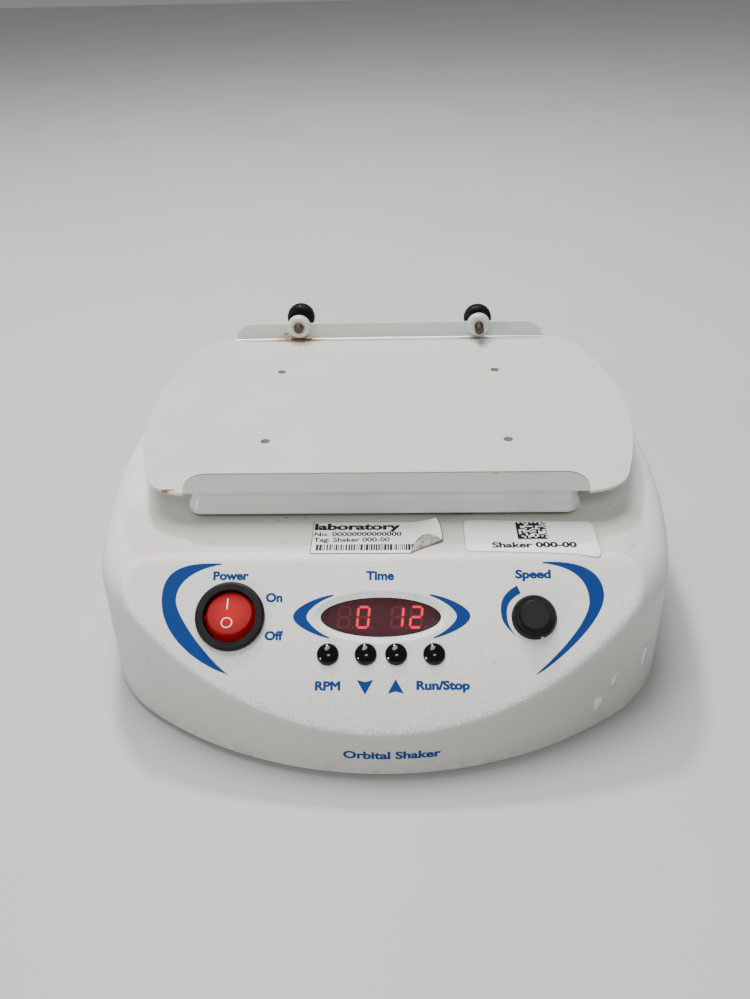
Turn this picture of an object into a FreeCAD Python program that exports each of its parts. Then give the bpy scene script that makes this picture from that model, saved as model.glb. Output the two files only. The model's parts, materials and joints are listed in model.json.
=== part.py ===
import FreeCAD, Part
import math
import os

# Bench-top orbital shaker. Units are millimetres, +Z is up, the front faces -Y.
# The origin is at the middle of the footprint, on the surface that the feet stand on.
# Most of the machine is laid out about the orbit axis, a vertical line at (0, ORBIT_Y).

V = FreeCAD.Vector
X_AXIS = V(1, 0, 0)
Y_AXIS = V(0, 1, 0)
Z_AXIS = V(0, 0, 1)

# ---- casing ----
HALF_WIDTH = 132.5          # widest half width of the casing
FRONT_REACH = 161.5         # orbit axis to the casing's front
REAR_REACH = 106.5          # orbit axis to the casing's flat rear wall
WIDEST_Y = -9.0             # where the side arcs are widest, from the orbit axis
FRONT_RADIUS = 161.0
SIDE_RADIUS = 376.0
FRONT_CORNER_RADIUS = 68.0
REAR_CORNER_RADIUS = 52.0
RIM_Z = 3.5                 # lower edge of the casing
CASING_TOP_Z = 72.0
SHOULDER_RADIUS = 20.0
WALL = 3.0

# ---- sloping control face: u runs along +X, v up the slope, w out of the face ----
PANEL_ANGLE = 40.0
PANEL_TOP_Y = -106.0        # upper edge of the slope, from the orbit axis
PANEL_EDGE_RADII = (3.0, 6.0, 8.0)   # at the front, at the front corners, along the top
CONTROL_V = -25.6           # row of switch and display
KNOB_V = -26.3
CONTROL_U = 61.5            # switch at -u, knob at +u
BUTTON_V = -41.0
BUTTON_U = {"button_rpm": -21.5, "button_down": -6.3, "button_up": 5.9, "button_run": 21.1}
BUTTON_RADIUS = 4.4
BUTTON_HOLE_GAP = 0.1
BUTTON_TRAVEL = 0.8
BUTTON_PROUD = 2.4
BUTTON_DOME = 1.7           # rise of the domed top, part of a ball
BUTTON_EDGE_RADIUS = 1.0    # rounding where the dome meets the side
BUTTON_FOOT_W = -8.0
BUTTON_STEM_W = -8.4
WINDOW_CENTRE = (-0.3, -25.8)
WINDOW_HALF = (24.45, 8.15)         # half axes of the oval display window
WINDOW_W = (-2.2, -0.9)
# the window lies in a shallow dish: how far outside the window, and how high, its side passes
WINDOW_DISH = [(3.2, 0.2), (2.4, -0.12), (1.4, -0.5), (0.2, -0.85)]
WINDOW_LEDGE = 1.2          # width of the ledge that the window rests on
BEZEL_RADIUS = 14.2
BEZEL_HEIGHT = 2.6
SWITCH_HOLE_RADIUS = 12.6
SWITCH_BARREL_W = -27.0
SWITCH_BLADE_U = (-5.0, 0.0, 5.0)
SWITCH_BLADE = (0.8, 6.3)   # thickness and width of a terminal blade
ROCKER_CAVITY_RADIUS = 10.8
ROCKER_TILT = 12.0
ROCKER_RADII = (10.1, 10.4, 9.2)    # at the foot, at the pivot and at the top
ROCKER_REACH = (3.0, 4.4)   # below and above the pivot
ROCKER_PIVOT_W = -2.0
ROCKER_PIN_RADIUS = 1.2
KNOB_SKIRT_RADII = (9.15, 8.3)
KNOB_RING_RADIUS = 7.9
KNOB_CAP_RADII = (6.4, 6.1)
KNOB_W = (0.5, 2.4, 3.3, 5.9)       # foot, top of the skirt, top of the ring, top of the cap
KNOB_BORE_TOP_W = 4.6
KNOB_NOTCHES = 40
POT_SHAFT_RADIUS = 2.0
POT_NUT = (5.6, 1.4)        # radius and height of the flat nut under the knob
DISPLAY_HALF = (20.0, 6.6)
DISPLAY_TOP_W = -3.2
BOARD_W = (-14.6, -13.0)
STANDOFF_PLACES = [(-37.0, -47.0), (-37.0, -12.0), (45.0, -47.0), (73.0, -12.0)]

# ---- orbit and drive ----
ORBIT_RADIUS = 1.5          # 3 mm orbit
ORBIT_Y = (FRONT_REACH - REAR_REACH) / 2.0
RUN_CLEARANCE = 0.05        # radial clearance of a shaft in its bearing
IDLER_X = 66.0
IDLER_Y = 56.0
MOTOR_Y = 52.0              # motor axis behind the orbit axis
MAIN_PULLEY_RADIUS = 26.0
MOTOR_PULLEY_RADIUS = 8.0
PULLEY_Z = (12.0, 24.0)
BELT_GAP = 0.3
BELT_THICKNESS = 1.6
DECK_Z = (48.0, 54.0)
DECK_HALF = (94.0, 75.0)
PILLAR_X = 86.0
PILLAR_Y = 62.0
BASE_PLATE_Z = (5.0, 7.0)
SCREW_PLACES = [(-101.0, -78.0), (101.0, -78.0), (-104.0, 70.0), (104.0, 70.0)]
FOOT_PLACES = [(-74.0, -112.0), (74.0, -112.0), (-88.0, 84.0), (88.0, 84.0)]
SHAFT_RADIUS = 5.0
CRANK_PIN_RADIUS = 4.0
IDLER_PIN_RADIUS = 3.0
MOTOR_SHAFT_RADIUS = 2.5
SHAFT_BEARING_RADIUS = 13.0
SHAFT_BEARING_Z = ((28.0, 36.0), (48.0, 56.0))
IDLER_BEARING_RADIUS = 9.5
BLOCK_RADIUS = 17.0
BLOCK_FLANGE_RADIUS = 27.0
BLOCK_Z = (27.0, 57.0)
BLOCK_SCREW_CIRCLE = 22.5
BLOCK_SCREW_ANGLES = (30, 150, 270)
CRANK_HEAD_Z = (58.2, 66.0)
CRANK_HEAD_RADIUS = 12.0
COUNTERWEIGHT_RADIUS = 33.0
PIN_TOP_Z = 82.5
IDLER_CHEEK_Z = (56.5, 62.0)
MOTOR_PLATE_Z = (26.0, 29.0)
MOTOR_BODY_TOP = 56.0
MOTOR_CAN_RADIUS = 20.0
MOTOR_POST_SPACING = (23.0, 15.0)
MOTOR_SCREW_SPACING = 9.0
M3_THREAD = 1.5
M3_CLEAR = 1.7

# ---- mains inlet in the rear wall ----
INLET_X = -62.0
INLET_Z = 32.0
INLET_FLANGE_HALF = (25.0, 11.8)
INLET_FLANGE_THICK = 2.6
INLET_BODY_HALF = (14.0, 10.0)
INLET_BODY_DEPTH = 17.5
INLET_SCREW_X = 20.0
INLET_CAVITY_HALF = (12.2, 8.2)
INLET_CAVITY_DEPTH = 14.5
INLET_FLANGE_Y = REAR_REACH - 4.6
INLET_PIN_HALF = (1.0, 2.0)
INLET_PIN_PLACES = [(INLET_X - 7.0, INLET_Z - 2.0), (INLET_X + 7.0, INLET_Z - 2.0), (INLET_X, INLET_Z + 2.0)]

# ---- power board ----
POWER_BOARD = (36.0, 76.0, -46.0, 46.0)     # x and y limits
POWER_BOARD_Z = (13.0, 14.6)

# ---- platform ----
TRAY_TOP_Z = 88.5
SHEET = 1.2
BEND_INSIDE = 1.0
TRAY_HALF_WIDTH = 116.3
TRAY_HALF_DEPTH = 83.3
TRAY_SIDE_RADIUS = 222.0
TRAY_CORNER_RADIUS = 21.0
LIP_HALF_LENGTH = 86.2
LIP_HEIGHT = 9.0
LIP_END = (11.0, 7.9)       # half axes of the elliptical upper corners of a lip
HOLE_SPACING = (112.4, 75.8)
HOLE_RADIUS = 2.25
PAN_HALF = (83.8, 78.3)
PAN_SHIFT_X = -1.0          # the pan sits a little off the tray's middle
PAN_BOTTOM_Z = 75.0
PAN_CORNER_RADIUS = 5.0
PAN_FLARE = 1.6             # the pan widens by this much towards its lower edge
PAN_FLARE_Z = (78.0, 82.5)  # between these heights
CUP_TOP_Z = TRAY_TOP_Z - 2 * SHEET
CARRIAGE_SEAT_TOP_Z = 82.0

# ---- clamp screws ----
CLAMP_X = 50.3
CLAMP_HEIGHT = 8.0          # above the tray
BOSS_RADIUS = 6.3
BOSS_LENGTH = 4.0
STUD_RADIUS = 2.5
STUD_LENGTH = 21.5
STUD_THREAD_PITCH = 0.8
CLAMP_KNOB_RADIUS = 7.8
CLAMP_KNOB_LENGTH = 7.0
CLAMP_TIP_PROUD = {"left": 2.5, "right": 7.0}

PARTS_FOLDER = "parts"


# ---- helpers ----

def save(name, shape):
    shape.exportStep(os.path.join(PARTS_FOLDER, name + ".step"))


def cylinder(radius, x, y, z0, z1):
    """Upright cylinder from z0 to z1; y is counted from the orbit axis."""
    return Part.makeCylinder(radius, z1 - z0, V(x, y + ORBIT_Y, z0), Z_AXIS)


def block(x0, x1, y0, y1, z0, z1):
    """Box between two corners; y is counted from the orbit axis."""
    return Part.makeBox(x1 - x0, y1 - y0, z1 - z0, V(x0, y0 + ORBIT_Y, z0))


def rounded_block(half_x, half_y, z0, z1, radius, centre=(0.0, 0.0)):
    """Upright box with rounded vertical edges, centred on a point."""
    x, y = centre
    body = block(x - half_x, x + half_x, y - half_y, y + half_y, z0, z1)
    upright = [e for e in body.Edges if abs(e.tangentAt(e.FirstParameter).z) > 0.99]
    return body.makeFillet(radius, upright)


def fuse_all(shapes):
    first = shapes[0]
    if len(shapes) == 1:
        return first
    return first.multiFuse(shapes[1:]).removeSplitter()


def group(shapes):
    return Part.makeCompound(shapes)


def on_panel(shape):
    """Move a shape built in (u, v, w) onto the sloping control face."""
    moved = shape.copy()
    origin = V(0, ORBIT_Y + PANEL_TOP_Y, CASING_TOP_Z)
    turn = FreeCAD.Rotation(X_AXIS, PANEL_ANGLE)
    moved.Placement = FreeCAD.Placement(origin, turn).multiply(moved.Placement)
    return moved


def panel_cylinder(radius, u, v, w0, w1):
    return on_panel(Part.makeCylinder(radius, w1 - w0, V(u, v, w0), Z_AXIS))


def panel_block(u0, u1, v0, v1, w0, w1):
    return on_panel(Part.makeBox(u1 - u0, v1 - v0, w1 - w0, V(u0, v0, w0)))


def oval_wire(half_u, half_v, w):
    """Ellipse about the window's centre, at height w over the control face."""
    curve = Part.Ellipse(V(WINDOW_CENTRE[0], WINDOW_CENTRE[1], w), half_u, half_v)
    return Part.Wire([curve.toShape()])


def oval_prism(half_u, half_v, w0, w1):
    face = Part.Face(oval_wire(half_u, half_v, w0))
    return on_panel(face.extrude(V(0, 0, w1 - w0)))


def window_dish():
    """The dished hollow round the window, as a solid to be cut away."""
    wires = [oval_wire(WINDOW_HALF[0] + out, WINDOW_HALF[1] + out, w) for out, w in WINDOW_DISH]
    return on_panel(Part.makeLoft(wires, True))


def side_four(half_x, half_y):
    """The four points at plus and minus half_x, half_y."""
    return [(sx * half_x, sy * half_y) for sx in (-1, 1) for sy in (-1, 1)]


def top_edges(shape, z):
    return [e for e in shape.Edges if abs(e.BoundBox.ZMin - z) < 1e-6 and abs(e.BoundBox.ZMax - z) < 1e-6]


# ---- outlines made of tangent arcs ----

def arc(centre, radius, start, end):
    """Short arc about a centre between two points on it."""
    middle = ((start - centre) + (end - centre)).normalize() * radius + centre
    return Part.Arc(start, middle, end).toShape()


def casing_outline(inset, z):
    """Closed plan outline of the casing, drawn in by inset, at height z."""
    half_width = HALF_WIDTH - inset
    front = FRONT_REACH - inset
    rear = REAR_REACH - inset
    r_front = FRONT_RADIUS - inset
    r_side = SIDE_RADIUS - inset
    r_corner = FRONT_CORNER_RADIUS - inset
    r_rear = REAR_CORNER_RADIUS - inset
    front_centre = V(0, r_front - front, 0)
    side_centre = V(half_width - r_side, WIDEST_Y, 0)
    # the front corner arc touches the front arc and the side arc from inside
    d_front = r_front - r_corner
    d_side = r_side - r_corner
    link = side_centre - front_centre
    gap = link.Length
    along = (d_front ** 2 - d_side ** 2 + gap ** 2) / (2.0 * gap)
    across = math.sqrt(d_front ** 2 - along ** 2)
    unit = V(link.x, link.y, 0).normalize()
    corner_centre = front_centre + unit * along + V(unit.y, -unit.x, 0) * across
    if corner_centre.x < 0 or corner_centre.y > 0:
        corner_centre = front_centre + unit * along - V(unit.y, -unit.x, 0) * across
    # the rear corner arc touches the side arc and the straight rear wall
    rear_y = rear - r_rear
    reach = math.sqrt((r_side - r_rear) ** 2 - (rear_y - WIDEST_Y) ** 2)
    rear_centre = V(side_centre.x + reach, rear_y, 0)
    front_touch = front_centre + (corner_centre - front_centre).normalize() * r_front
    side_touch = side_centre + (corner_centre - side_centre).normalize() * r_side
    rear_touch = side_centre + (rear_centre - side_centre).normalize() * r_side
    rear_end = V(rear_centre.x, rear, 0)
    front_left = V(-front_touch.x, front_touch.y, 0)
    apex = V(0, -front, 0)
    edges = [arc(front_centre, r_front, front_left, apex), arc(front_centre, r_front, apex, front_touch)]
    right = [
        arc(corner_centre, r_corner, front_touch, side_touch),
        arc(side_centre, r_side, side_touch, rear_touch),
        arc(rear_centre, r_rear, rear_touch, rear_end),
    ]
    left = [e.mirror(V(0, 0, 0), X_AXIS) for e in right]
    rear_wall = Part.LineSegment(rear_end, V(-rear_end.x, rear_end.y, 0)).toShape()
    wire = Part.Wire(Part.__sortEdges__(edges + right + [rear_wall] + left))
    wire.translate(V(0, ORBIT_Y, z))
    return wire


def casing_solid(inset, z0, z1, panel_inset):
    """Rounded casing body with the sloping face cut off it."""
    face = Part.Face(casing_outline(inset, z0))
    body = face.extrude(V(0, 0, z1 - z0))
    body = body.makeFillet(SHOULDER_RADIUS - inset, top_edges(body, z1))
    cutter = panel_block(-200, 200, -150, 60, -panel_inset, 120)
    return body.cut(cutter)


def tray_outline(z):
    """Plan outline of the tray, about the tray's own centre."""
    side_centre = V(TRAY_HALF_WIDTH - TRAY_SIDE_RADIUS, 0, 0)
    corner_y = TRAY_HALF_DEPTH - TRAY_CORNER_RADIUS
    reach = math.sqrt((TRAY_SIDE_RADIUS - TRAY_CORNER_RADIUS) ** 2 - corner_y ** 2)
    corner_centre = V(side_centre.x + reach, corner_y, 0)
    touch = side_centre + (corner_centre - side_centre).normalize() * TRAY_SIDE_RADIUS
    fold_end = V(corner_centre.x, TRAY_HALF_DEPTH, 0)
    upper = arc(corner_centre, TRAY_CORNER_RADIUS, touch, fold_end)
    side = arc(side_centre, TRAY_SIDE_RADIUS, V(touch.x, -touch.y, 0), touch)
    right = [upper, side, upper.mirror(V(0, 0, 0), Y_AXIS)]
    left = [e.mirror(V(0, 0, 0), X_AXIS) for e in right]
    folds = []
    for sign in (-1, 1):
        start = V(fold_end.x, sign * fold_end.y, 0)
        folds.append(Part.LineSegment(start, V(-start.x, start.y, 0)).toShape())
    wire = Part.Wire(Part.__sortEdges__(right + left + folds))
    wire.translate(V(ORBIT_RADIUS, ORBIT_Y, z))
    return wire


# ---- casing and base ----

def lies_on_panel(edge):
    normal = on_panel(Part.makeLine(V(0, 0, 0), Z_AXIS)).Vertexes
    foot = normal[0].Point
    out = normal[1].Point - foot
    return all(abs((p - foot).dot(out)) < 1e-4 for p in edge.discretize(5))


def panel_edge_radius(point, front_z):
    if point.z < front_z + 1.0:
        return PANEL_EDGE_RADII[0]
    if point.z > CASING_TOP_Z - 0.1:
        return PANEL_EDGE_RADII[2]
    return PANEL_EDGE_RADII[1]


def soften_panel_edge(shape):
    """Round the sloping face's border, more softly towards its upper corners."""
    document = FreeCAD.newDocument("casing")
    sharp = document.addObject("Part::Feature", "sharp")
    sharp.Shape = shape
    soft = document.addObject("Part::Fillet", "soft")
    soft.Base = sharp
    border = [(i, e) for i, e in enumerate(sharp.Shape.Edges, start=1) if lies_on_panel(e)]
    front_z = min(e.BoundBox.ZMin for i, e in border)
    choices = []
    for i, edge in border:
        start = edge.valueAt(edge.FirstParameter)
        end = edge.valueAt(edge.LastParameter)
        choices.append((i, panel_edge_radius(start, front_z), panel_edge_radius(end, front_z)))
    soft.Edges = choices
    document.recompute()
    return soft.Shape.copy()


def make_housing():
    outer = soften_panel_edge(casing_solid(0.0, RIM_Z, CASING_TOP_Z, 0.0))
    inner = casing_solid(WALL, RIM_Z - 1.0, CASING_TOP_Z - WALL, WALL)
    shell = outer.cut(inner)
    # bosses for the base screws, and a thick pad behind the inlet's recess
    bosses = [cylinder(4.5, x, y, BASE_PLATE_Z[1], CASING_TOP_Z - WALL + 0.5) for x, y in SCREW_PLACES]
    wall_band = casing_solid(WALL / 2.0, RIM_Z, CASING_TOP_Z - WALL / 2.0, WALL / 2.0)
    pad = block(INLET_X - 31, INLET_X + 31, REAR_REACH - 8.6, REAR_REACH - 1.5, INLET_Z - 17, INLET_Z + 17)
    shell = fuse_all([shell, pad.common(wall_band)] + [b.common(wall_band) for b in bosses])
    holes = [cylinder(9.0, 0, 0, CASING_TOP_Z - 8, CASING_TOP_Z + 1)]
    holes += [cylinder(8.0, x, y, CASING_TOP_Z - 8, CASING_TOP_Z + 1) for x, y in side_four(IDLER_X, IDLER_Y)]
    holes += [cylinder(1.5, x, y, BASE_PLATE_Z[1] - 1, BASE_PLATE_Z[1] + 14) for x, y in SCREW_PLACES]
    holes.append(panel_cylinder(SWITCH_HOLE_RADIUS, -CONTROL_U, CONTROL_V, -8, 4))
    holes.append(panel_cylinder(3.7, CONTROL_U, KNOB_V, -8, 4))
    holes += [panel_cylinder(BUTTON_RADIUS + BUTTON_HOLE_GAP, u, BUTTON_V, -8, 4) for u in BUTTON_U.values()]
    holes.append(window_dish())
    holes.append(oval_prism(WINDOW_HALF[0], WINDOW_HALF[1], WINDOW_W[0], 4))
    holes.append(oval_prism(WINDOW_HALF[0] - WINDOW_LEDGE, WINDOW_HALF[1] - WINDOW_LEDGE, -8, 0))
    holes.append(inlet_recess())
    return shell.cut(Part.makeCompound(holes))


def make_base_plate():
    face = Part.Face(casing_outline(WALL + 0.4, BASE_PLATE_Z[0]))
    plate = face.extrude(V(0, 0, BASE_PLATE_Z[1] - BASE_PLATE_Z[0]))
    holes = [cylinder(1.7, x, y, 0, 20) for x, y in SCREW_PLACES]
    holes += [cylinder(3.1, x, y, 0, 20) for x, y in FOOT_PLACES]
    holes += [cylinder(2.1, x, y, 0, 20) for x, y in side_four(PILLAR_X, PILLAR_Y)]
    return plate.cut(Part.makeCompound(holes))


def make_feet():
    feet = []
    for x, y in FOOT_PLACES:
        pad = Part.makeCone(8.0, 9.5, 5.0, V(x, y + ORBIT_Y, 0), Z_AXIS)
        pad = pad.makeFillet(1.0, top_edges(pad, 0.0))
        stem = cylinder(3.0, x, y, 4.0, BASE_PLATE_Z[1])
        head = Part.makeCone(4.2, 2.6, 2.0, V(x, y + ORBIT_Y, BASE_PLATE_Z[1]), Z_AXIS)
        feet.append(fuse_all([pad, stem, head]))
    return group(feet)


def pan_head_screw(radius, length, head_radius, head_height):
    """Screw along +Z with its head below z = 0 and a cross recess in it."""
    shank = Part.makeCylinder(radius, length)
    head = Part.makeCylinder(head_radius, head_height, V(0, 0, -head_height), Z_AXIS)
    head = head.makeFillet(head_height * 0.4, top_edges(head, -head_height))
    slot = 0.3 * head_radius
    reach = 0.65 * head_radius
    deep = 0.5 * head_height
    bar = Part.makeBox(2 * reach, slot, deep, V(-reach, -slot / 2, -head_height))
    cross = Part.makeBox(slot, 2 * reach, deep, V(-slot / 2, -reach, -head_height))
    return shank.fuse(head).cut(bar.fuse(cross))


def placed(shape, base, direction):
    moved = shape.copy()
    moved.Placement = FreeCAD.Placement(base, FreeCAD.Rotation(Z_AXIS, direction))
    return moved


def screws_at(places, z, direction, radius, length, head_radius, head_height):
    one = pan_head_screw(radius, length, head_radius, head_height)
    return [placed(one, V(x, y + ORBIT_Y, z), direction) for x, y in places]


# ---- mains inlet ----

def inlet_box(half_x, half_z, y0, y1):
    return block(INLET_X - half_x, INLET_X + half_x, y0, y1, INLET_Z - half_z, INLET_Z + half_z)


def inlet_recess():
    pocket = inlet_box(INLET_FLANGE_HALF[0] + 0.6, INLET_FLANGE_HALF[1] + 0.6, INLET_FLANGE_Y, REAR_REACH + 5)
    window = inlet_box(INLET_BODY_HALF[0] + 0.2, INLET_BODY_HALF[1] + 0.2, REAR_REACH - 20, REAR_REACH + 5)
    threads = []
    for side in (-1, 1):
        start = V(INLET_X + side * INLET_SCREW_X, ORBIT_Y + REAR_REACH - 20, INLET_Z)
        threads.append(Part.makeCylinder(M3_THREAD, 25, start, Y_AXIS))
    return fuse_all([pocket, window] + threads)


def make_inlet():
    face_y = INLET_FLANGE_Y + INLET_FLANGE_THICK
    flange = inlet_box(INLET_FLANGE_HALF[0], INLET_FLANGE_HALF[1], INLET_FLANGE_Y, face_y)
    corners = [e for e in flange.Edges if abs(e.tangentAt(e.FirstParameter).y) > 0.99]
    flange = flange.makeFillet(5.0, corners)
    back_y = INLET_FLANGE_Y - INLET_BODY_DEPTH
    body = inlet_box(INLET_BODY_HALF[0], INLET_BODY_HALF[1], back_y, INLET_FLANGE_Y + 1.0)
    cavity_y = INLET_FLANGE_Y - INLET_CAVITY_DEPTH
    cavity = inlet_box(INLET_CAVITY_HALF[0], INLET_CAVITY_HALF[1], cavity_y, REAR_REACH + 5)
    upper = [e for e in cavity.Edges if abs(e.tangentAt(e.FirstParameter).y) > 0.99]
    upper = [e for e in upper if e.BoundBox.ZMin > INLET_Z]
    cavity = cavity.makeChamfer(4.5, upper)
    holes = [cavity]
    for side in (-1, 1):
        start = V(INLET_X + side * INLET_SCREW_X, ORBIT_Y + INLET_FLANGE_Y - 1, INLET_Z)
        holes.append(Part.makeCylinder(M3_CLEAR, 10, start, Y_AXIS))
    holes += inlet_pin_blocks(INLET_FLANGE_Y - 30, INLET_FLANGE_Y)
    return flange.fuse(body).cut(Part.makeCompound(holes))


def inlet_pin_blocks(y0, y1):
    half_x, half_z = INLET_PIN_HALF
    return [block(x - half_x, x + half_x, y0, y1, z - half_z, z + half_z) for x, z in INLET_PIN_PLACES]


def make_inlet_pins():
    return group(inlet_pin_blocks(INLET_FLANGE_Y - 26, INLET_FLANGE_Y - 1.5))


def make_inlet_screws():
    one = pan_head_screw(M3_THREAD, 9.0, 2.8, 1.6)
    screws = []
    for side in (-1, 1):
        seat = V(INLET_X + side * INLET_SCREW_X, ORBIT_Y + INLET_FLANGE_Y + INLET_FLANGE_THICK, INLET_Z)
        screws.append(placed(one, seat, V(0, -1, 0)))
    return group(screws)


# ---- mechanism deck ----

def ball_bearing(outer, inner, z0, z1, x, y):
    """Shielded ball bearing as one ring, with a groove where each shield sits."""
    ring = cylinder(outer, x, y, z0, z1).cut(cylinder(inner, x, y, z0 - 1, z1 + 1))
    lip = (outer - inner) * 0.25
    for low, high in ((z0 - 1, z0 + 0.4), (z1 - 0.4, z1 + 1)):
        groove = cylinder(outer - lip, x, y, low, high).cut(cylinder(inner + lip, x, y, low, high))
        ring = ring.cut(groove)
    return ring


def motor_post_places():
    return [(x, MOTOR_Y + y) for x, y in side_four(MOTOR_POST_SPACING[0], MOTOR_POST_SPACING[1])]


def motor_screw_places():
    return [(x, MOTOR_Y + y) for x, y in side_four(MOTOR_SCREW_SPACING, MOTOR_SCREW_SPACING)]


def block_screw_places():
    turns = [math.radians(angle) for angle in BLOCK_SCREW_ANGLES]
    return [(BLOCK_SCREW_CIRCLE * math.cos(a), BLOCK_SCREW_CIRCLE * math.sin(a)) for a in turns]


def make_deck():
    deck = rounded_block(DECK_HALF[0], DECK_HALF[1], DECK_Z[0], DECK_Z[1], 12.0)
    holes = [cylinder(BLOCK_RADIUS, 0, 0, 40, 60), cylinder(MOTOR_CAN_RADIUS + 0.6, 0, MOTOR_Y, 40, 60)]
    holes += [cylinder(IDLER_BEARING_RADIUS, x, y, 40, 60) for x, y in side_four(IDLER_X, IDLER_Y)]
    holes += [cylinder(2.1, x, y, 40, 60) for x, y in side_four(PILLAR_X, PILLAR_Y)]
    holes += [cylinder(M3_CLEAR, x, y, 40, 60) for x, y in motor_post_places()]
    holes += [cylinder(1.6, x, y, 40, 60) for x, y in block_screw_places()]
    return deck.cut(Part.makeCompound(holes))


def make_bearing_block():
    body = cylinder(BLOCK_RADIUS, 0, 0, BLOCK_Z[0], DECK_Z[1])
    flange = cylinder(BLOCK_FLANGE_RADIUS, 0, 0, DECK_Z[1], BLOCK_Z[1])
    flange = flange.makeFillet(1.0, top_edges(flange, BLOCK_Z[1]))
    lower, upper = SHAFT_BEARING_Z
    holes = [cylinder(SHAFT_RADIUS + 1.5, 0, 0, 20, 60)]
    holes.append(cylinder(SHAFT_BEARING_RADIUS, 0, 0, BLOCK_Z[0] - 1, lower[1]))
    holes.append(cylinder(SHAFT_BEARING_RADIUS, 0, 0, upper[0], BLOCK_Z[1] + 1))
    holes += [cylinder(M3_CLEAR, x, y, 50, 60) for x, y in block_screw_places()]
    return body.fuse(flange).cut(Part.makeCompound(holes))


def make_shaft_bearings():
    bore = SHAFT_RADIUS + RUN_CLEARANCE
    return group([ball_bearing(SHAFT_BEARING_RADIUS, bore, z0, z1, 0, 0) for z0, z1 in SHAFT_BEARING_Z])


def make_idler_bearings():
    bore = IDLER_PIN_RADIUS + RUN_CLEARANCE
    rings = []
    for x, y in side_four(IDLER_X, IDLER_Y):
        rings.append(ball_bearing(IDLER_BEARING_RADIUS, bore, DECK_Z[0], DECK_Z[1], x, y))
    return group(rings)


def make_pillars():
    pillars = []
    for x, y in side_four(PILLAR_X, PILLAR_Y):
        outer = cylinder(5.0, x, y, BASE_PLATE_Z[1], DECK_Z[0])
        bore_low = cylinder(1.65, x, y, BASE_PLATE_Z[1] - 1, BASE_PLATE_Z[1] + 12)
        bore_high = cylinder(1.65, x, y, DECK_Z[0] - 12, DECK_Z[0] + 1)
        pillars.append(outer.cut(bore_low.fuse(bore_high)))
    return group(pillars)


# ---- drive: crank, counterweight, motor and belt ----

def grooved_pulley(x, y, radius, bore):
    """Flat belt pulley with a flange at each end."""
    z0, z1 = PULLEY_Z
    core = cylinder(radius, x, y, z0, z1)
    low = cylinder(radius + 2.4, x, y, z0, z0 + 1.2)
    high = cylinder(radius + 2.4, x, y, z1 - 1.2, z1)
    return fuse_all([core, low, high]).cut(cylinder(bore, x, y, z0 - 1, z1 + 1))


def make_main_pulley():
    pulley = grooved_pulley(0, 0, MAIN_PULLEY_RADIUS, SHAFT_RADIUS)
    pockets = []
    for angle in range(0, 360, 60):
        x = 15.5 * math.cos(math.radians(angle))
        y = 15.5 * math.sin(math.radians(angle))
        pockets.append(cylinder(5.0, x, y, PULLEY_Z[0] - 1, PULLEY_Z[1] + 1))
    return pulley.cut(Part.makeCompound(pockets))


def make_main_shaft():
    shaft = cylinder(SHAFT_RADIUS, 0, 0, 9.0, CRANK_HEAD_Z[0])
    head = cylinder(CRANK_HEAD_RADIUS, 0, 0, CRANK_HEAD_Z[0], CRANK_HEAD_Z[1])
    pin = cylinder(CRANK_PIN_RADIUS, ORBIT_RADIUS, 0, CRANK_HEAD_Z[1], PIN_TOP_Z)
    pin = pin.makeChamfer(0.6, top_edges(pin, PIN_TOP_Z))
    return fuse_all([shaft, head, pin])


def make_counterweight():
    z0, z1 = CRANK_HEAD_Z
    disc = cylinder(COUNTERWEIGHT_RADIUS, 0, 0, z0, z1).cut(block(3.0, 40, -40, 40, z0 - 1, z1 + 1))
    hub = cylinder(CRANK_HEAD_RADIUS + 5.0, 0, 0, z0, z1)
    ring = disc.fuse(hub).cut(cylinder(CRANK_HEAD_RADIUS, 0, 0, z0 - 1, z1 + 1))
    middle = (z0 + z1) / 2.0
    bore = Part.makeCylinder(M3_THREAD, 10, V(CRANK_HEAD_RADIUS - 1, ORBIT_Y, middle), X_AXIS)
    return ring.cut(bore)


def make_counterweight_screw():
    middle = (CRANK_HEAD_Z[0] + CRANK_HEAD_Z[1]) / 2.0
    start = V(CRANK_HEAD_RADIUS + 0.2, ORBIT_Y, middle)
    screw = Part.makeCylinder(M3_THREAD, 4.6, start, X_AXIS)
    socket = Part.makeCylinder(0.8, 2.0, start + V(3.0, 0, 0), X_AXIS)
    return screw.cut(socket)


def make_idler(x, y):
    """Idler crank: lower pin in the deck, cheek, upper pin in the carriage."""
    low, high = IDLER_CHEEK_Z
    lower = cylinder(IDLER_PIN_RADIUS, x, y, DECK_Z[0] - 1.5, low)
    cheek = cylinder(7.0, x, y, low, high).fuse(cylinder(6.0, x + ORBIT_RADIUS, y, low, high))
    upper = cylinder(IDLER_PIN_RADIUS, x + ORBIT_RADIUS, y, high, PIN_TOP_Z)
    return fuse_all([lower, cheek, upper])


def make_motor_bracket():
    plate = rounded_block(28.0, 21.0, MOTOR_PLATE_Z[0], MOTOR_PLATE_Z[1], 4.0, (0.0, MOTOR_Y))
    plate = plate.cut(cylinder(BLOCK_RADIUS + 0.4, 0, 0, 20, 40))
    holes = [cylinder(6.2, 0, MOTOR_Y, 20, 40)]
    holes += [cylinder(M3_CLEAR, x, y, 20, 40) for x, y in motor_post_places() + motor_screw_places()]
    return plate.cut(Part.makeCompound(holes))


def make_motor_standoffs():
    posts = []
    for x, y in motor_post_places():
        post = cylinder(3.2, x, y, MOTOR_PLATE_Z[1], DECK_Z[0])
        posts.append(post.cut(cylinder(1.6, x, y, 20, 60)))
    return group(posts)


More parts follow.
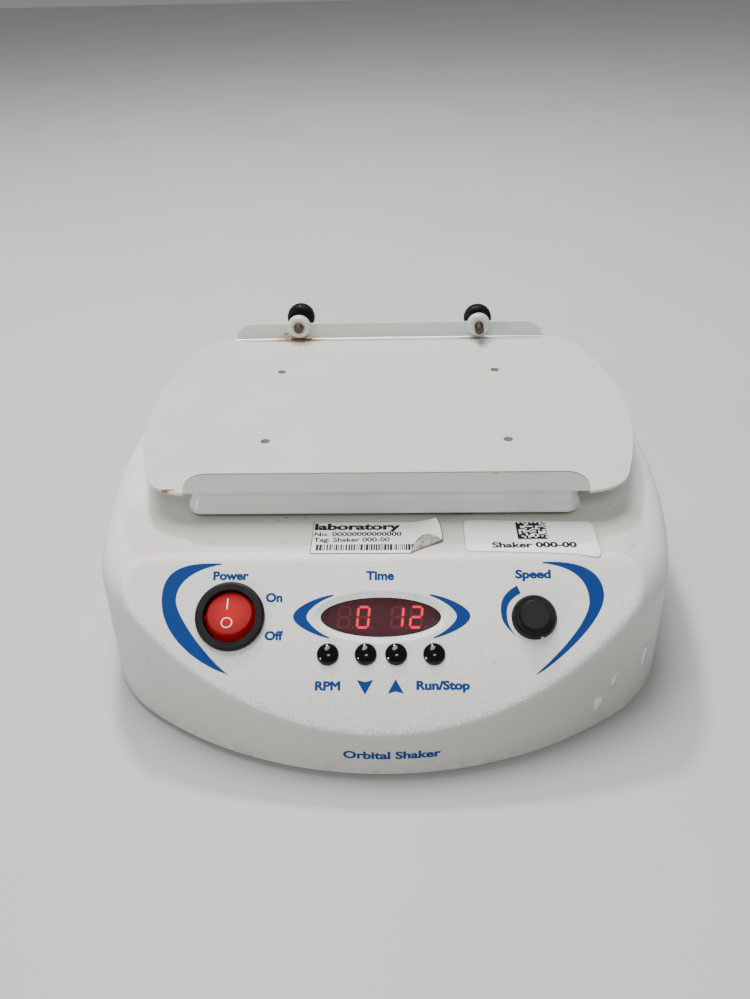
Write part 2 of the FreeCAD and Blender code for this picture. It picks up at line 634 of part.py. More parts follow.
def make_motor_body():
    can = cylinder(MOTOR_CAN_RADIUS, 0, MOTOR_Y, MOTOR_PLATE_Z[1], MOTOR_BODY_TOP)
    can = can.makeFillet(1.8, top_edges(can, MOTOR_BODY_TOP))
    pilot = cylinder(6.0, 0, MOTOR_Y, MOTOR_PLATE_Z[0], MOTOR_PLATE_Z[1])
    holes = [cylinder(MOTOR_SHAFT_RADIUS + RUN_CLEARANCE, 0, MOTOR_Y, 20, 52)]
    holes += [cylinder(M3_THREAD, x, y, 28, 35) for x, y in motor_screw_places()]
    return can.fuse(pilot).cut(Part.makeCompound(holes))


def make_motor_shaft():
    return cylinder(MOTOR_SHAFT_RADIUS, 0, MOTOR_Y, 9.0, 51.0)


def make_motor_pulley():
    return grooved_pulley(0, MOTOR_Y, MOTOR_PULLEY_RADIUS, MOTOR_SHAFT_RADIUS)


def belt_loop(extra, z0, z1):
    """Filled outline of the belt, at a distance extra from both pulleys."""
    r1 = MAIN_PULLEY_RADIUS + extra
    r2 = MOTOR_PULLEY_RADIUS + extra
    sine = (r1 - r2) / MOTOR_Y
    cosine = math.sqrt(1.0 - sine ** 2)
    centre1 = V(0, 0, 0)
    centre2 = V(0, MOTOR_Y, 0)
    out_right = V(cosine, sine, 0)
    out_left = V(-cosine, sine, 0)
    right1 = centre1 + out_right * r1
    right2 = centre2 + out_right * r2
    left1 = centre1 + out_left * r1
    left2 = centre2 + out_left * r2
    edges = [
        Part.LineSegment(right1, right2).toShape(),
        Part.Arc(right2, centre2 + V(0, r2, 0), left2).toShape(),
        Part.LineSegment(left2, left1).toShape(),
        Part.Arc(left1, centre1 + V(0, -r1, 0), right1).toShape(),
    ]
    wire = Part.Wire(edges)
    wire.translate(V(0, ORBIT_Y, z0))
    return Part.Face(wire).extrude(V(0, 0, z1 - z0))


def make_belt():
    z0 = PULLEY_Z[0] + 1.6
    z1 = PULLEY_Z[1] - 1.6
    outer = belt_loop(BELT_GAP + BELT_THICKNESS, z0, z1)
    return outer.cut(belt_loop(BELT_GAP, z0 - 1, z1 + 1))


# ---- platform ----

def lip_wall(height):
    """Upright wall of a lip, standing at z = 0 and y = 0, with elliptical upper corners."""
    reach, drop = LIP_END
    left, right = -LIP_HALF_LENGTH, LIP_HALF_LENGTH
    shoulder = height - drop
    corner_right = Part.Ellipse(V(right - reach, shoulder, 0), reach, drop)
    corner_left = Part.Ellipse(V(left + reach, shoulder, 0), reach, drop)
    edges = [
        Part.LineSegment(V(left, 0, 0), V(right, 0, 0)).toShape(),
        Part.LineSegment(V(right, 0, 0), V(right, shoulder, 0)).toShape(),
        Part.ArcOfEllipse(corner_right, 0, math.pi / 2).toShape(),
        Part.LineSegment(V(right - reach, height, 0), V(left + reach, height, 0)).toShape(),
        Part.ArcOfEllipse(corner_left, math.pi / 2, math.pi).toShape(),
        Part.LineSegment(V(left, shoulder, 0), V(left, 0, 0)).toShape(),
    ]
    wall = Part.Face(Part.Wire(edges)).extrude(V(0, 0, SHEET))
    wall.rotate(V(0, 0, 0), X_AXIS, 90)
    return wall


def lip_solid(sign):
    """One upturned lip with its bend, at the front (-1) or the rear (+1)."""
    bend_in = BEND_INSIDE
    bend_out = bend_in + SHEET
    floor_z = TRAY_TOP_Z - SHEET
    outer_y = TRAY_HALF_DEPTH
    profile = [
        V(0, outer_y - bend_out, floor_z),
        V(0, outer_y, floor_z + bend_out),
        V(0, outer_y - SHEET, floor_z + bend_out),
        V(0, outer_y - bend_out, floor_z + SHEET),
    ]
    pivot = V(0, outer_y - bend_out, floor_z + bend_out)
    half = math.sqrt(0.5)
    edges = [
        Part.Arc(profile[0], pivot + V(0, half, -half) * bend_out, profile[1]).toShape(),
        Part.LineSegment(profile[1], profile[2]).toShape(),
        Part.Arc(profile[2], pivot + V(0, half, -half) * bend_in, profile[3]).toShape(),
        Part.LineSegment(profile[3], profile[0]).toShape(),
    ]
    bend = Part.Face(Part.Wire(edges)).extrude(V(2 * LIP_HALF_LENGTH, 0, 0))
    bend.translate(V(-LIP_HALF_LENGTH, 0, 0))
    low = floor_z + bend_out
    high = TRAY_TOP_Z + LIP_HEIGHT
    wall = lip_wall(high - low)
    wall.translate(V(0, outer_y, low))
    lip = bend.fuse(wall)
    if sign < 0:
        lip = lip.mirror(V(0, 0, 0), Y_AXIS)
    lip.translate(V(ORBIT_RADIUS, ORBIT_Y, 0))
    return lip


def tray_holes(z0, z1):
    places = side_four(HOLE_SPACING[0] / 2.0, HOLE_SPACING[1] / 2.0)
    return Part.makeCompound([cylinder(HOLE_RADIUS, x + ORBIT_RADIUS, y, z0, z1) for x, y in places])


def stud_axis(side):
    """Point on a clamp stud's axis, at the orbit axis' Y."""
    sign = -1 if side == "left" else 1
    return V(ORBIT_RADIUS + sign * CLAMP_X, ORBIT_Y, TRAY_TOP_Z + CLAMP_HEIGHT)


def along_y(side, radius, y0, y1):
    start = stud_axis(side) + V(0, y0, 0)
    return Part.makeCylinder(radius, y1 - y0, start, Y_AXIS)


def make_tray():
    face = Part.Face(tray_outline(TRAY_TOP_Z - SHEET))
    plate = face.extrude(V(0, 0, SHEET))
    # the folded strips are taken out of the flat plate, and the lips put in their place
    bend_out = BEND_INSIDE + SHEET
    for sign in (-1, 1):
        y_in = TRAY_HALF_DEPTH - bend_out
        low, high = sorted((sign * y_in, sign * (TRAY_HALF_DEPTH + 1.0)))
        strip_x = ORBIT_RADIUS - LIP_HALF_LENGTH
        plate = plate.cut(block(strip_x, strip_x + 2 * LIP_HALF_LENGTH, low, high, 80, 95))
    tray = fuse_all([plate, lip_solid(-1), lip_solid(1)])
    holes = [tray_holes(80, 95)]
    holes += [along_y(side, STUD_RADIUS + 0.35, 70, 90) for side in ("left", "right")]
    return tray.cut(Part.makeCompound(holes))


def make_weld_bosses():
    bosses = []
    y_back = TRAY_HALF_DEPTH - SHEET
    for side in ("left", "right"):
        boss = along_y(side, BOSS_RADIUS, y_back - BOSS_LENGTH, y_back)
        front = [e for e in boss.Edges if e.BoundBox.YMax < ORBIT_Y + y_back - BOSS_LENGTH + 0.01]
        boss = boss.makeFillet(1.6, front)
        bosses.append(boss.cut(along_y(side, STUD_RADIUS + RUN_CLEARANCE, 70, 90)))
    return group(bosses)


def pan_block(extra, z0, z1):
    """Rounded block in the pan's outline, larger all round by extra."""
    centre = (ORBIT_RADIUS + PAN_SHIFT_X, 0.0)
    return rounded_block(PAN_HALF[0] + extra, PAN_HALF[1] + extra, z0, z1, PAN_CORNER_RADIUS + extra, centre)


def make_pan():
    top = TRAY_TOP_Z - SHEET
    low, high = PAN_FLARE_Z
    outer = pan_block(0.0, PAN_BOTTOM_Z, top)
    hem = pan_block(PAN_FLARE, PAN_BOTTOM_Z, low)
    hem = hem.makeFillet(1.2, top_edges(hem, PAN_BOTTOM_Z))
    widest = Part.Wire(top_edges(hem, low))
    slim = pan_block(-0.3, high, top)
    narrowest = Part.Wire(top_edges(slim, high))
    flare = Part.makeLoft([widest, narrowest], True, True)
    inner = pan_block(-SHEET, PAN_BOTTOM_Z - 1, top - SHEET)
    pan = fuse_all([outer, hem, flare]).cut(inner)
    return pan.cut(tray_holes(70, 90))


def make_hub():
    hub = cylinder(15.0, ORBIT_RADIUS, 0, 74.2, CUP_TOP_Z)
    seat = cylinder(11.0, ORBIT_RADIUS, 0, 70, CARRIAGE_SEAT_TOP_Z)
    return hub.cut(seat.fuse(cylinder(7.0, ORBIT_RADIUS, 0, 70, CARRIAGE_SEAT_TOP_Z + 1.6)))


def make_carriage_bearing():
    return ball_bearing(11.0, CRANK_PIN_RADIUS + RUN_CLEARANCE, 75.0, CARRIAGE_SEAT_TOP_Z, ORBIT_RADIUS, 0)


def make_idler_cups():
    cups = []
    for x, y in side_four(IDLER_X, IDLER_Y):
        cup = cylinder(12.0, x + ORBIT_RADIUS, y, 75.0, CUP_TOP_Z)
        seat = cylinder(IDLER_BEARING_RADIUS, x + ORBIT_RADIUS, y, 70, CARRIAGE_SEAT_TOP_Z)
        cups.append(cup.cut(seat.fuse(cylinder(6.0, x + ORBIT_RADIUS, y, 70, CARRIAGE_SEAT_TOP_Z + 1.6))))
    return group(cups)


def make_carriage_idler_bearings():
    bore = IDLER_PIN_RADIUS + RUN_CLEARANCE
    rings = []
    for x, y in side_four(IDLER_X, IDLER_Y):
        x += ORBIT_RADIUS
        rings.append(ball_bearing(IDLER_BEARING_RADIUS, bore, 76.0, CARRIAGE_SEAT_TOP_Z, x, y))
    return group(rings)


# ---- clamp screws ----

def stud_tip_y(side):
    return TRAY_HALF_DEPTH - SHEET - BOSS_LENGTH - CLAMP_TIP_PROUD[side]


def make_clamp_stud(side):
    """Threaded stud: rings of thread crests on a core, with a plain end in the knob."""
    tip = stud_tip_y(side)
    core = along_y(side, STUD_RADIUS - 0.35, tip, tip + STUD_LENGTH)
    pieces = [core]
    turns = int((STUD_LENGTH - 6.5) / STUD_THREAD_PITCH)
    for i in range(turns):
        low = tip + 0.4 + i * STUD_THREAD_PITCH
        crest = stud_axis(side) + V(0, low, 0)
        half = STUD_THREAD_PITCH / 2.0
        rise = Part.makeCone(STUD_RADIUS - 0.4, STUD_RADIUS, half, crest, Y_AXIS)
        fall = Part.makeCone(STUD_RADIUS, STUD_RADIUS - 0.4, half, crest + V(0, half, 0), Y_AXIS)
        pieces += [rise, fall]
    return core.multiFuse(pieces[1:])


def make_clamp_knob(side):
    back = stud_tip_y(side) + STUD_LENGTH + 1.5
    front = back - CLAMP_KNOB_LENGTH
    knob = along_y(side, CLAMP_KNOB_RADIUS, front, back)
    rims = [e for e in knob.Edges if abs(e.BoundBox.YMax - e.BoundBox.YMin) < 1e-6]
    knob = knob.makeFillet(2.2, rims)
    bore = along_y(side, STUD_RADIUS - 0.35 + RUN_CLEARANCE, front - 1, back - 1.2)
    flutes = []
    for angle in range(0, 360, 20):
        a = math.radians(angle)
        offset = V(math.cos(a), 0, math.sin(a)) * (CLAMP_KNOB_RADIUS + 0.5)
        start = stud_axis(side) + V(0, front - 1, 0) + offset
        flutes.append(Part.makeCylinder(0.9, CLAMP_KNOB_LENGTH + 2, start, Y_AXIS))
    return knob.cut(Part.makeCompound([bore] + flutes))


# ---- controls ----

def make_window():
    return oval_prism(WINDOW_HALF[0] - 0.05, WINDOW_HALF[1] - 0.05, WINDOW_W[0], WINDOW_W[1])


def make_display_module():
    half_u, half_v = DISPLAY_HALF
    return panel_block(-half_u, half_u, CONTROL_V - half_v, CONTROL_V + half_v, BOARD_W[1], DISPLAY_TOP_W)


def make_control_board():
    board = panel_block(-42.0, 78.0, -52.0, -7.0, BOARD_W[0], BOARD_W[1])
    holes = [panel_cylinder(1.6, u, v, -20, 0) for u, v in STANDOFF_PLACES]
    return board.cut(Part.makeCompound(holes))


def make_board_standoffs():
    posts = []
    for u, v in STANDOFF_PLACES:
        post = panel_cylinder(3.2, u, v, BOARD_W[1], -WALL)
        posts.append(post.fuse(panel_cylinder(1.5, u, v, BOARD_W[0] - 1.5, BOARD_W[1])))
    return group(posts)


def make_tact_switches():
    top = BUTTON_STEM_W - BUTTON_TRAVEL - 0.2
    low, high = BUTTON_V - 3, BUTTON_V + 3
    return group([panel_block(u - 3, u + 3, low, high, BOARD_W[1], top) for u in BUTTON_U.values()])


def domed_cap():
    """Round cap about the w axis, topped by part of a ball, with a soft edge round it."""
    ball_radius = (BUTTON_RADIUS ** 2 + BUTTON_DOME ** 2) / (2.0 * BUTTON_DOME)
    shoulder = BUTTON_PROUD - BUTTON_DOME
    side = Part.makeCylinder(BUTTON_RADIUS, shoulder - BUTTON_FOOT_W, V(0, 0, BUTTON_FOOT_W), Z_AXIS)
    ball = Part.makeSphere(ball_radius, V(0, 0, BUTTON_PROUD - ball_radius))
    above = Part.makeCylinder(BUTTON_RADIUS + 2, BUTTON_DOME + 1, V(0, 0, shoulder), Z_AXIS)
    cap = side.fuse(ball.common(above))
    return cap.makeFillet(BUTTON_EDGE_RADIUS, top_edges(cap, shoulder))


def make_button(u):
    cap = domed_cap()
    cap.translate(V(u, BUTTON_V, 0))
    collar = Part.makeCylinder(BUTTON_RADIUS + 1.0, 1.2, V(u, BUTTON_V, -4.8), Z_AXIS)
    stem = Part.makeCylinder(1.6, 0.5, V(u, BUTTON_V, BUTTON_STEM_W), Z_AXIS)
    return on_panel(fuse_all([cap, collar, stem]))


def make_switch_body():
    ring = Part.makeCylinder(BEZEL_RADIUS, BEZEL_HEIGHT)
    ring = ring.makeFillet(0.5 * BEZEL_HEIGHT, top_edges(ring, BEZEL_HEIGHT))
    barrel = Part.makeCylinder(SWITCH_HOLE_RADIUS - 0.15, -SWITCH_BARREL_W, V(0, 0, SWITCH_BARREL_W), Z_AXIS)
    cavity = Part.makeCylinder(ROCKER_CAVITY_RADIUS, 16.0, V(0, 0, -12.0), Z_AXIS)
    pivot = V(-12.0, 0, ROCKER_PIVOT_W)
    sockets = Part.makeCylinder(ROCKER_PIN_RADIUS + RUN_CLEARANCE, 24.0, pivot, X_AXIS)
    body = ring.fuse(barrel).cut(cavity.fuse(sockets))
    body = body.cut(Part.makeCompound(terminal_blades(12.0, SWITCH_BARREL_W - 3.0)))
    body.translate(V(-CONTROL_U, CONTROL_V, 0))
    return on_panel(body)


def terminal_blades(length, low):
    thick, wide = SWITCH_BLADE
    return [Part.makeBox(thick, wide, length, V(u - thick / 2, -wide / 2, low)) for u in SWITCH_BLADE_U]


def make_switch_terminals():
    eyes = Part.makeCylinder(1.0, 16.0, V(-8.0, 0, SWITCH_BARREL_W - 5.0), X_AXIS)
    blades = []
    for blade in terminal_blades(15.0, SWITCH_BARREL_W - 8.0):
        blade = blade.cut(eyes)
        blade.translate(V(-CONTROL_U, CONTROL_V, 0))
        blades.append(on_panel(blade))
    return group(blades)


def make_rocker():
    """Round translucent rocker, tipped with its upper half pressed in."""
    foot, waist, crown = ROCKER_RADII
    down, rise = ROCKER_REACH
    lower = Part.makeCone(foot, waist, down, V(0, 0, -down), Z_AXIS)
    upper = Part.makeCone(waist, crown, rise)
    upper = upper.makeFillet(0.7, top_edges(upper, rise))
    cap = lower.fuse(upper)
    pins = Part.makeCylinder(ROCKER_PIN_RADIUS, 23.4, V(-11.7, 0, 0), X_AXIS)
    rocker = cap.fuse(pins)
    rocker.rotate(V(0, 0, 0), X_AXIS, -ROCKER_TILT)
    rocker.translate(V(-CONTROL_U, CONTROL_V, ROCKER_PIVOT_W))
    return on_panel(rocker)


def make_pot_body():
    can = panel_block(CONTROL_U - 8, CONTROL_U + 8, KNOB_V - 8, KNOB_V + 8, BOARD_W[1], -5.2)
    bushing = panel_cylinder(3.5, CONTROL_U, KNOB_V, -5.2, POT_NUT[1])
    flat_nut = panel_cylinder(POT_NUT[0], CONTROL_U, KNOB_V, 0.0, POT_NUT[1])
    bore = panel_cylinder(POT_SHAFT_RADIUS + RUN_CLEARANCE, CONTROL_U, KNOB_V, -11.5, 5)
    return fuse_all([can, bushing, flat_nut]).cut(bore)


def make_pot_shaft():
    return panel_cylinder(POT_SHAFT_RADIUS, CONTROL_U, KNOB_V, -11.0, KNOB_BORE_TOP_W)


def make_speed_knob():
    foot, skirt_top, ring_top, top = KNOB_W
    skirt = Part.makeCone(KNOB_SKIRT_RADII[0], KNOB_SKIRT_RADII[1], skirt_top - foot, V(0, 0, foot), Z_AXIS)
    ring = Part.makeCylinder(KNOB_RING_RADIUS, ring_top - skirt_top, V(0, 0, skirt_top), Z_AXIS)
    cap = Part.makeCone(KNOB_CAP_RADII[0], KNOB_CAP_RADII[1], top - ring_top, V(0, 0, ring_top), Z_AXIS)
    cap = cap.makeFillet(0.7, top_edges(cap, top))
    knob = fuse_all([skirt, ring, cap])
    bore = Part.makeCylinder(POT_SHAFT_RADIUS, KNOB_BORE_TOP_W)
    nut_space = Part.makeCylinder(POT_NUT[0] + 0.6, POT_NUT[1] + 0.3)
    cuts = [bore, nut_space]
    for i in range(KNOB_NOTCHES):
        a = 2.0 * math.pi * i / KNOB_NOTCHES
        place = V(KNOB_RING_RADIUS * math.cos(a), KNOB_RING_RADIUS * math.sin(a), skirt_top)
        cuts.append(Part.makeCylinder(0.45, 1.2, place, Z_AXIS))
    # one bite out of the skirt's edge
    a = math.radians(-71.0)
    bite = V(KNOB_SKIRT_RADII[0] * math.cos(a), KNOB_SKIRT_RADII[0] * math.sin(a), 0)
    cuts.append(Part.makeCylinder(0.8, skirt_top + 1.0, bite, Z_AXIS))
    knob = knob.cut(Part.makeCompound(cuts))
    knob.translate(V(CONTROL_U, KNOB_V, 0))
    return on_panel(knob)


# ---- power board ----

def power_corners():
    x0, x1, y0, y1 = POWER_BOARD
    return [(x, y) for x in (x0 + 4, x1 - 4) for y in (y0 + 4, y1 - 4)]


def make_power_board():
    x0, x1, y0, y1 = POWER_BOARD
    board = block(x0, x1, y0, y1, POWER_BOARD_Z[0], POWER_BOARD_Z[1])
    return board.cut(Part.makeCompound([cylinder(1.6, x, y, 10, 20) for x, y in power_corners()]))


def make_power_standoffs():
    posts = []
    for x, y in power_corners():
        post = cylinder(3.0, x, y, BASE_PLATE_Z[1], POWER_BOARD_Z[0])
        posts.append(post.fuse(cylinder(1.5, x, y, POWER_BOARD_Z[0], POWER_BOARD_Z[1] + 1.5)))
    return group(posts)


def make_power_components():
    z = POWER_BOARD_Z[1]
    core = block(44, 68, -12, 12, z, z + 20)
    winding = rounded_block(15.0, 8.0, z + 4.0, z + 16.0, 3.0, (56.0, 0.0))
    parts = [core.fuse(winding)]
    for y in (-34.0, -21.0, 24.0):
        can = cylinder(5.5, 50.0, y, z, z + 22)
        parts.append(can.makeFillet(0.8, top_edges(can, z + 22)))
    for y in (-30.0, 26.0, 37.0):
        parts.append(block(62, 68, y - 4, y + 4, z, z + 11))
    return group(parts)


# ---- write every node ----

def main():
    os.makedirs(PARTS_FOLDER, exist_ok=True)
    down = V(0, 0, -1)
    up = Z_AXIS
    save("housing_shell", make_housing())
    save("base_plate", make_base_plate())
    save("rubber_feet", make_feet())
    save("base_screws", group(screws_at(SCREW_PLACES, BASE_PLATE_Z[0], up, 1.5, 13.0, 3.0, 1.8)))
    save("mechanism_deck", make_deck())
    save("deck_pillars", make_pillars())
    pillar_places = side_four(PILLAR_X, PILLAR_Y)
    low = screws_at(pillar_places, BASE_PLATE_Z[0], up, 1.6, 11.0, 3.4, 1.8)
    high = screws_at(pillar_places, DECK_Z[1], down, 1.6, 14.0, 3.4, 1.8)
    save("deck_screws", group(low + high))
    save("bearing_block", make_bearing_block())
    save("block_screws", group(screws_at(block_screw_places(), BLOCK_Z[1], down, 1.6, 8.0, 2.8, 1.0)))
    save("shaft_bearings", make_shaft_bearings())
    save("idler_bearings", make_idler_bearings())
    save("motor_bracket", make_motor_bracket())
    save("motor_standoffs", make_motor_standoffs())
    post_low = screws_at(motor_post_places(), MOTOR_PLATE_Z[0], up, 1.6, 8.0, 2.8, 1.4)
    post_high = screws_at(motor_post_places(), DECK_Z[1], down, 1.6, 10.0, 2.8, 1.4)
    face = screws_at(motor_screw_places(), MOTOR_PLATE_Z[0], up, 1.5, 7.0, 2.6, 1.4)
    save("motor_screws", group(post_low + post_high + face))
    save("motor_body", make_motor_body())
    save("motor_shaft", make_motor_shaft())
    save("motor_pulley", make_motor_pulley())
    save("drive_belt", make_belt())
    save("main_shaft", make_main_shaft())
    save("main_pulley", make_main_pulley())
    save("counterweight", make_counterweight())
    save("counterweight_screw", make_counterweight_screw())
    for number, (x, y) in enumerate(side_four(IDLER_X, IDLER_Y), start=1):
        save("idler_crank_%d" % number, make_idler(x, y))
    save("tray", make_tray())
    save("weld_bosses", make_weld_bosses())
    save("carriage_pan", make_pan())
    save("carriage_hub", make_hub())
    save("carriage_bearing", make_carriage_bearing())
    save("idler_cups", make_idler_cups())
    save("carriage_idler_bearings", make_carriage_idler_bearings())
    for side in ("left", "right"):
        save("clamp_stud_" + side, make_clamp_stud(side))
        save("clamp_knob_" + side, make_clamp_knob(side))
    save("display_window", make_window())
    save("display_module", make_display_module())
    save("control_board", make_control_board())
    save("board_standoffs", make_board_standoffs())
    save("tact_switches", make_tact_switches())
    for name, u in BUTTON_U.items():
        save(name, make_button(u))
    save("switch_body", make_switch_body())
    save("switch_terminals", make_switch_terminals())
    save("rocker", make_rocker())
    save("pot_body", make_pot_body())
    save("pot_shaft", make_pot_shaft())
    save("speed_knob", make_speed_knob())
    save("power_board", make_power_board())
    save("power_standoffs", make_power_standoffs())
    save("power_components", make_power_components())
    save("mains_inlet", make_inlet())
    save("inlet_pins", make_inlet_pins())
    save("inlet_screws", make_inlet_screws())


main()
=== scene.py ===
import json
import math
import random

import bpy
from mathutils import Matrix, Vector
from mathutils.bvhtree import BVHTree


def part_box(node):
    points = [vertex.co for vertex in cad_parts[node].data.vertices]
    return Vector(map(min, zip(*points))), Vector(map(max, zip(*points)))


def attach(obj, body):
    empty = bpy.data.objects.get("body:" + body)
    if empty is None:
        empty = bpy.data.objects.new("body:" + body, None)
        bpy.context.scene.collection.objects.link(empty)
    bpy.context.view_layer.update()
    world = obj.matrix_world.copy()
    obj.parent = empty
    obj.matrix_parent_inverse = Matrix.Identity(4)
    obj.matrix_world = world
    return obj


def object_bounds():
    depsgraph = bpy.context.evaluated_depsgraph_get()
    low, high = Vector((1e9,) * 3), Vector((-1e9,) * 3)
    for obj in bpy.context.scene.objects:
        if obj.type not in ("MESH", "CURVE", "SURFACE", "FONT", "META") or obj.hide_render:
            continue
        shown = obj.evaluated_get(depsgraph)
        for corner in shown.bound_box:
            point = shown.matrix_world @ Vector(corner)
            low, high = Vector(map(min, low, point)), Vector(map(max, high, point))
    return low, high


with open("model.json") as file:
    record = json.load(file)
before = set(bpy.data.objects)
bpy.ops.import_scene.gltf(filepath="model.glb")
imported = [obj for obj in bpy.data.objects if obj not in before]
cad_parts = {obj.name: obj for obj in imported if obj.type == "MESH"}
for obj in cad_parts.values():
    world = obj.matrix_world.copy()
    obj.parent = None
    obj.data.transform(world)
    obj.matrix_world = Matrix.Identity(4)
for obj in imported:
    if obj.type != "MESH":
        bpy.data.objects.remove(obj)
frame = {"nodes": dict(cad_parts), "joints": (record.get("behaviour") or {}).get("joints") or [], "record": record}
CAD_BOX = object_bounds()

# The looks of a bench-top orbital shaker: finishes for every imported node, the printed
# control face, the display's segments, the two stickers, and the light and camera.
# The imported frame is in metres, the small sizes below are in millimetres.
MM = 0.001

NODES = frame["nodes"]
JOINTS = {joint["name"]: joint for joint in frame["joints"]}


# ---- where things are ----

def centre_of(node):
    low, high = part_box(node)
    return (low + high) / 2


FACE_OUT = Vector(JOINTS["speed_turn"]["axis"]).normalized()
FACE_RIGHT = Vector((1, 0, 0))
FACE_UP = FACE_OUT.cross(FACE_RIGHT)
ROCKER_PIVOT = Vector(JOINTS["power_rocker"]["pos_m"])
ROW_V = -25.6                # the switch's row, below the control face's upper edge
ROCKER_DEPTH = 2.0           # its pivot lies this far inside the face
FACE_ORIGIN = Vector((0, ROCKER_PIVOT.y, ROCKER_PIVOT.z)) + (FACE_OUT * ROCKER_DEPTH - FACE_UP * ROW_V) * MM
CASING_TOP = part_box("housing_shell")[1].z
TRAY_LOW, TRAY_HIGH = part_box("tray")
TRAY_CENTRE = Vector(frame["record"]["mounts"][0]["pos_m"])
STUDS = {side: centre_of("clamp_stud_" + side) for side in ("left", "right")}


def on_face(u, v, w=0.0):
    """A point of the sloping control face: u to the right, v up the slope, w out of it."""
    return FACE_ORIGIN + (FACE_RIGHT * u + FACE_UP * v + FACE_OUT * w) * MM


def surface_tree(node):
    mesh = NODES[node].data
    return BVHTree.FromPolygons([v.co for v in mesh.vertices], [p.vertices[:] for p in mesh.polygons])


class Wrap:
    """Lays flat artwork on a node's surface, by dropping each point onto it along one direction."""

    def __init__(self, node, place, direction, reach=0.02):
        self.tree = surface_tree(node)
        self.place = place
        self.direction = Vector(direction).normalized()
        self.reach = reach

    def __call__(self, x, y, height):
        start = self.place(x, y) - self.direction * self.reach
        hit, normal, _, _ = self.tree.ray_cast(start, self.direction)
        if hit is None:
            return self.place(x, y)
        return hit + normal * height * MM


# ---- meshes ----

def add_piece(name, vertices, faces, material, body, smooth=False):
    mesh = bpy.data.meshes.new(name)
    mesh.from_pydata([tuple(v) for v in vertices], [], faces)
    mesh.validate()
    mesh.update()
    if smooth:
        mesh.shade_smooth()
    mesh.materials.append(material)
    piece = bpy.data.objects.new(name, mesh)
    bpy.context.scene.collection.objects.link(piece)
    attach(piece, body)
    return piece


class Film:
    """Collects thin closed shapes, such as ink or paper, that lie on a wrapped surface."""

    def __init__(self, wrap, low=0.02, high=0.06):
        self.wrap = wrap
        self.low = low
        self.high = high
        self.vertices = []
        self.faces = []

    def strip(self, side_a, side_b, closed=False):
        """A band between two rows of points with the same count."""
        base = len(self.vertices)
        for a, b in zip(side_a, side_b):
            for point in (a, b):
                self.vertices.append(self.wrap(point[0], point[1], self.low))
                self.vertices.append(self.wrap(point[0], point[1], self.high))
        count = len(side_a)
        for i in range(count if closed else count - 1):
            k = base + 4 * i
            n = base + 4 * ((i + 1) % count)
            self.faces += [(k + 1, n + 1, n + 3, k + 3), (k, k + 2, n + 2, n)]
            self.faces += [(k, n, n + 1, k + 1), (k + 2, k + 3, n + 3, n + 2)]
        if not closed:
            last = base + 4 * (count - 1)
            self.faces += [(base, base + 1, base + 3, base + 2), (last, last + 2, last + 3, last + 1)]

    def rectangle(self, x0, y0, x1, y1):
        self.strip([(x0, y1), (x1, y1)], [(x0, y0), (x1, y0)])

    def polygon(self, points):
        """A filled outline, given clockwise or anticlockwise."""
        base = len(self.vertices)
        count = len(points)
        for level in (self.low, self.high):
            self.vertices += [self.wrap(x, y, level) for x, y in points]
        self.faces.append(tuple(range(base + count, base + 2 * count)))
        self.faces.append(tuple(range(base + count - 1, base - 1, -1)))
        for i in range(count):
            j = (i + 1) % count
            self.faces.append((base + i, base + j, base + count + j, base + count + i))

    def text(self, words, left, low, right, high, weight=0.1):
        """Words fitted between left and right, whose capitals stand between low and high."""
        curve = bpy.data.curves.new("words", "FONT")
        curve.body = words
        curve.size = (high - low) / CAPITAL_SHARE
        curve.bevel_depth = weight
        curve.bevel_resolution = 0
        curve.resolution_u = 4
        flat = bpy.data.objects.new("words", curve)
        bpy.context.scene.collection.objects.link(flat)
        bpy.context.view_layer.update()
        outline = bpy.data.meshes.new_from_object(flat.evaluated_get(bpy.context.evaluated_depsgraph_get()))
        bpy.data.objects.remove(flat)
        bpy.data.curves.remove(curve)
        first = min(v.co.x for v in outline.vertices)
        last = max(v.co.x for v in outline.vertices)
        stretch = (right - left) / (last - first)
        base = len(self.vertices)
        for v in outline.vertices:
            share = 0.5 + 0.5 * v.co.z / weight
            level = self.low + (self.high - self.low) * share
            self.vertices.append(self.wrap(left + (v.co.x - first) * stretch, low + v.co.y, level))
        self.faces += [tuple(base + i for i in face.vertices) for face in outline.polygons]
        bpy.data.meshes.remove(outline)

    def finish(self, name, material, body):
        return add_piece(name, self.vertices, self.faces, material, body)


CAPITAL_SHARE = 0.73         # height of a capital letter as a share of the font's size


def bend(start, start_way, start_pull, end, end_way, end_pull, steps=20):
    """Points on a smooth curve that leaves start and reaches end in the given directions."""
    p0, p3 = Vector(start), Vector(end)
    span = (p3 - p0).length
    p1 = p0 + Vector(start_way).normalized() * span * start_pull
    p2 = p3 - Vector(end_way).normalized() * span * end_pull
    points = []
    for i in range(steps + 1):
        t = i / steps
        s = 1 - t
        points.append(p0 * s ** 3 + p1 * 3 * s * s * t + p2 * 3 * s * t * t + p3 * t ** 3)
    return points


def crescent_side(tip, belly, toe, pulls=(0.42, 0.42, 0.42, 0.42)):
    """One side of a crescent, from its tip round its belly to its toe.

    Each of the three is a point and the direction in which the side passes it."""
    first = bend(tip[0], tip[1], pulls[0], belly[0], belly[1], pulls[1])
    second = bend(belly[0], belly[1], pulls[2], toe[0], toe[1], pulls[3])
    return first + second[1:]


# ---- materials ----

def srgb(red, green, blue):
    """A colour given as 0 to 255 in sRGB, as the linear values that a shader takes."""
    def linear(value):
        share = value / 255
        return share / 12.92 if share <= 0.04045 else ((share + 0.055) / 1.055) ** 2.4
    return (linear(red), linear(green), linear(blue), 1.0)


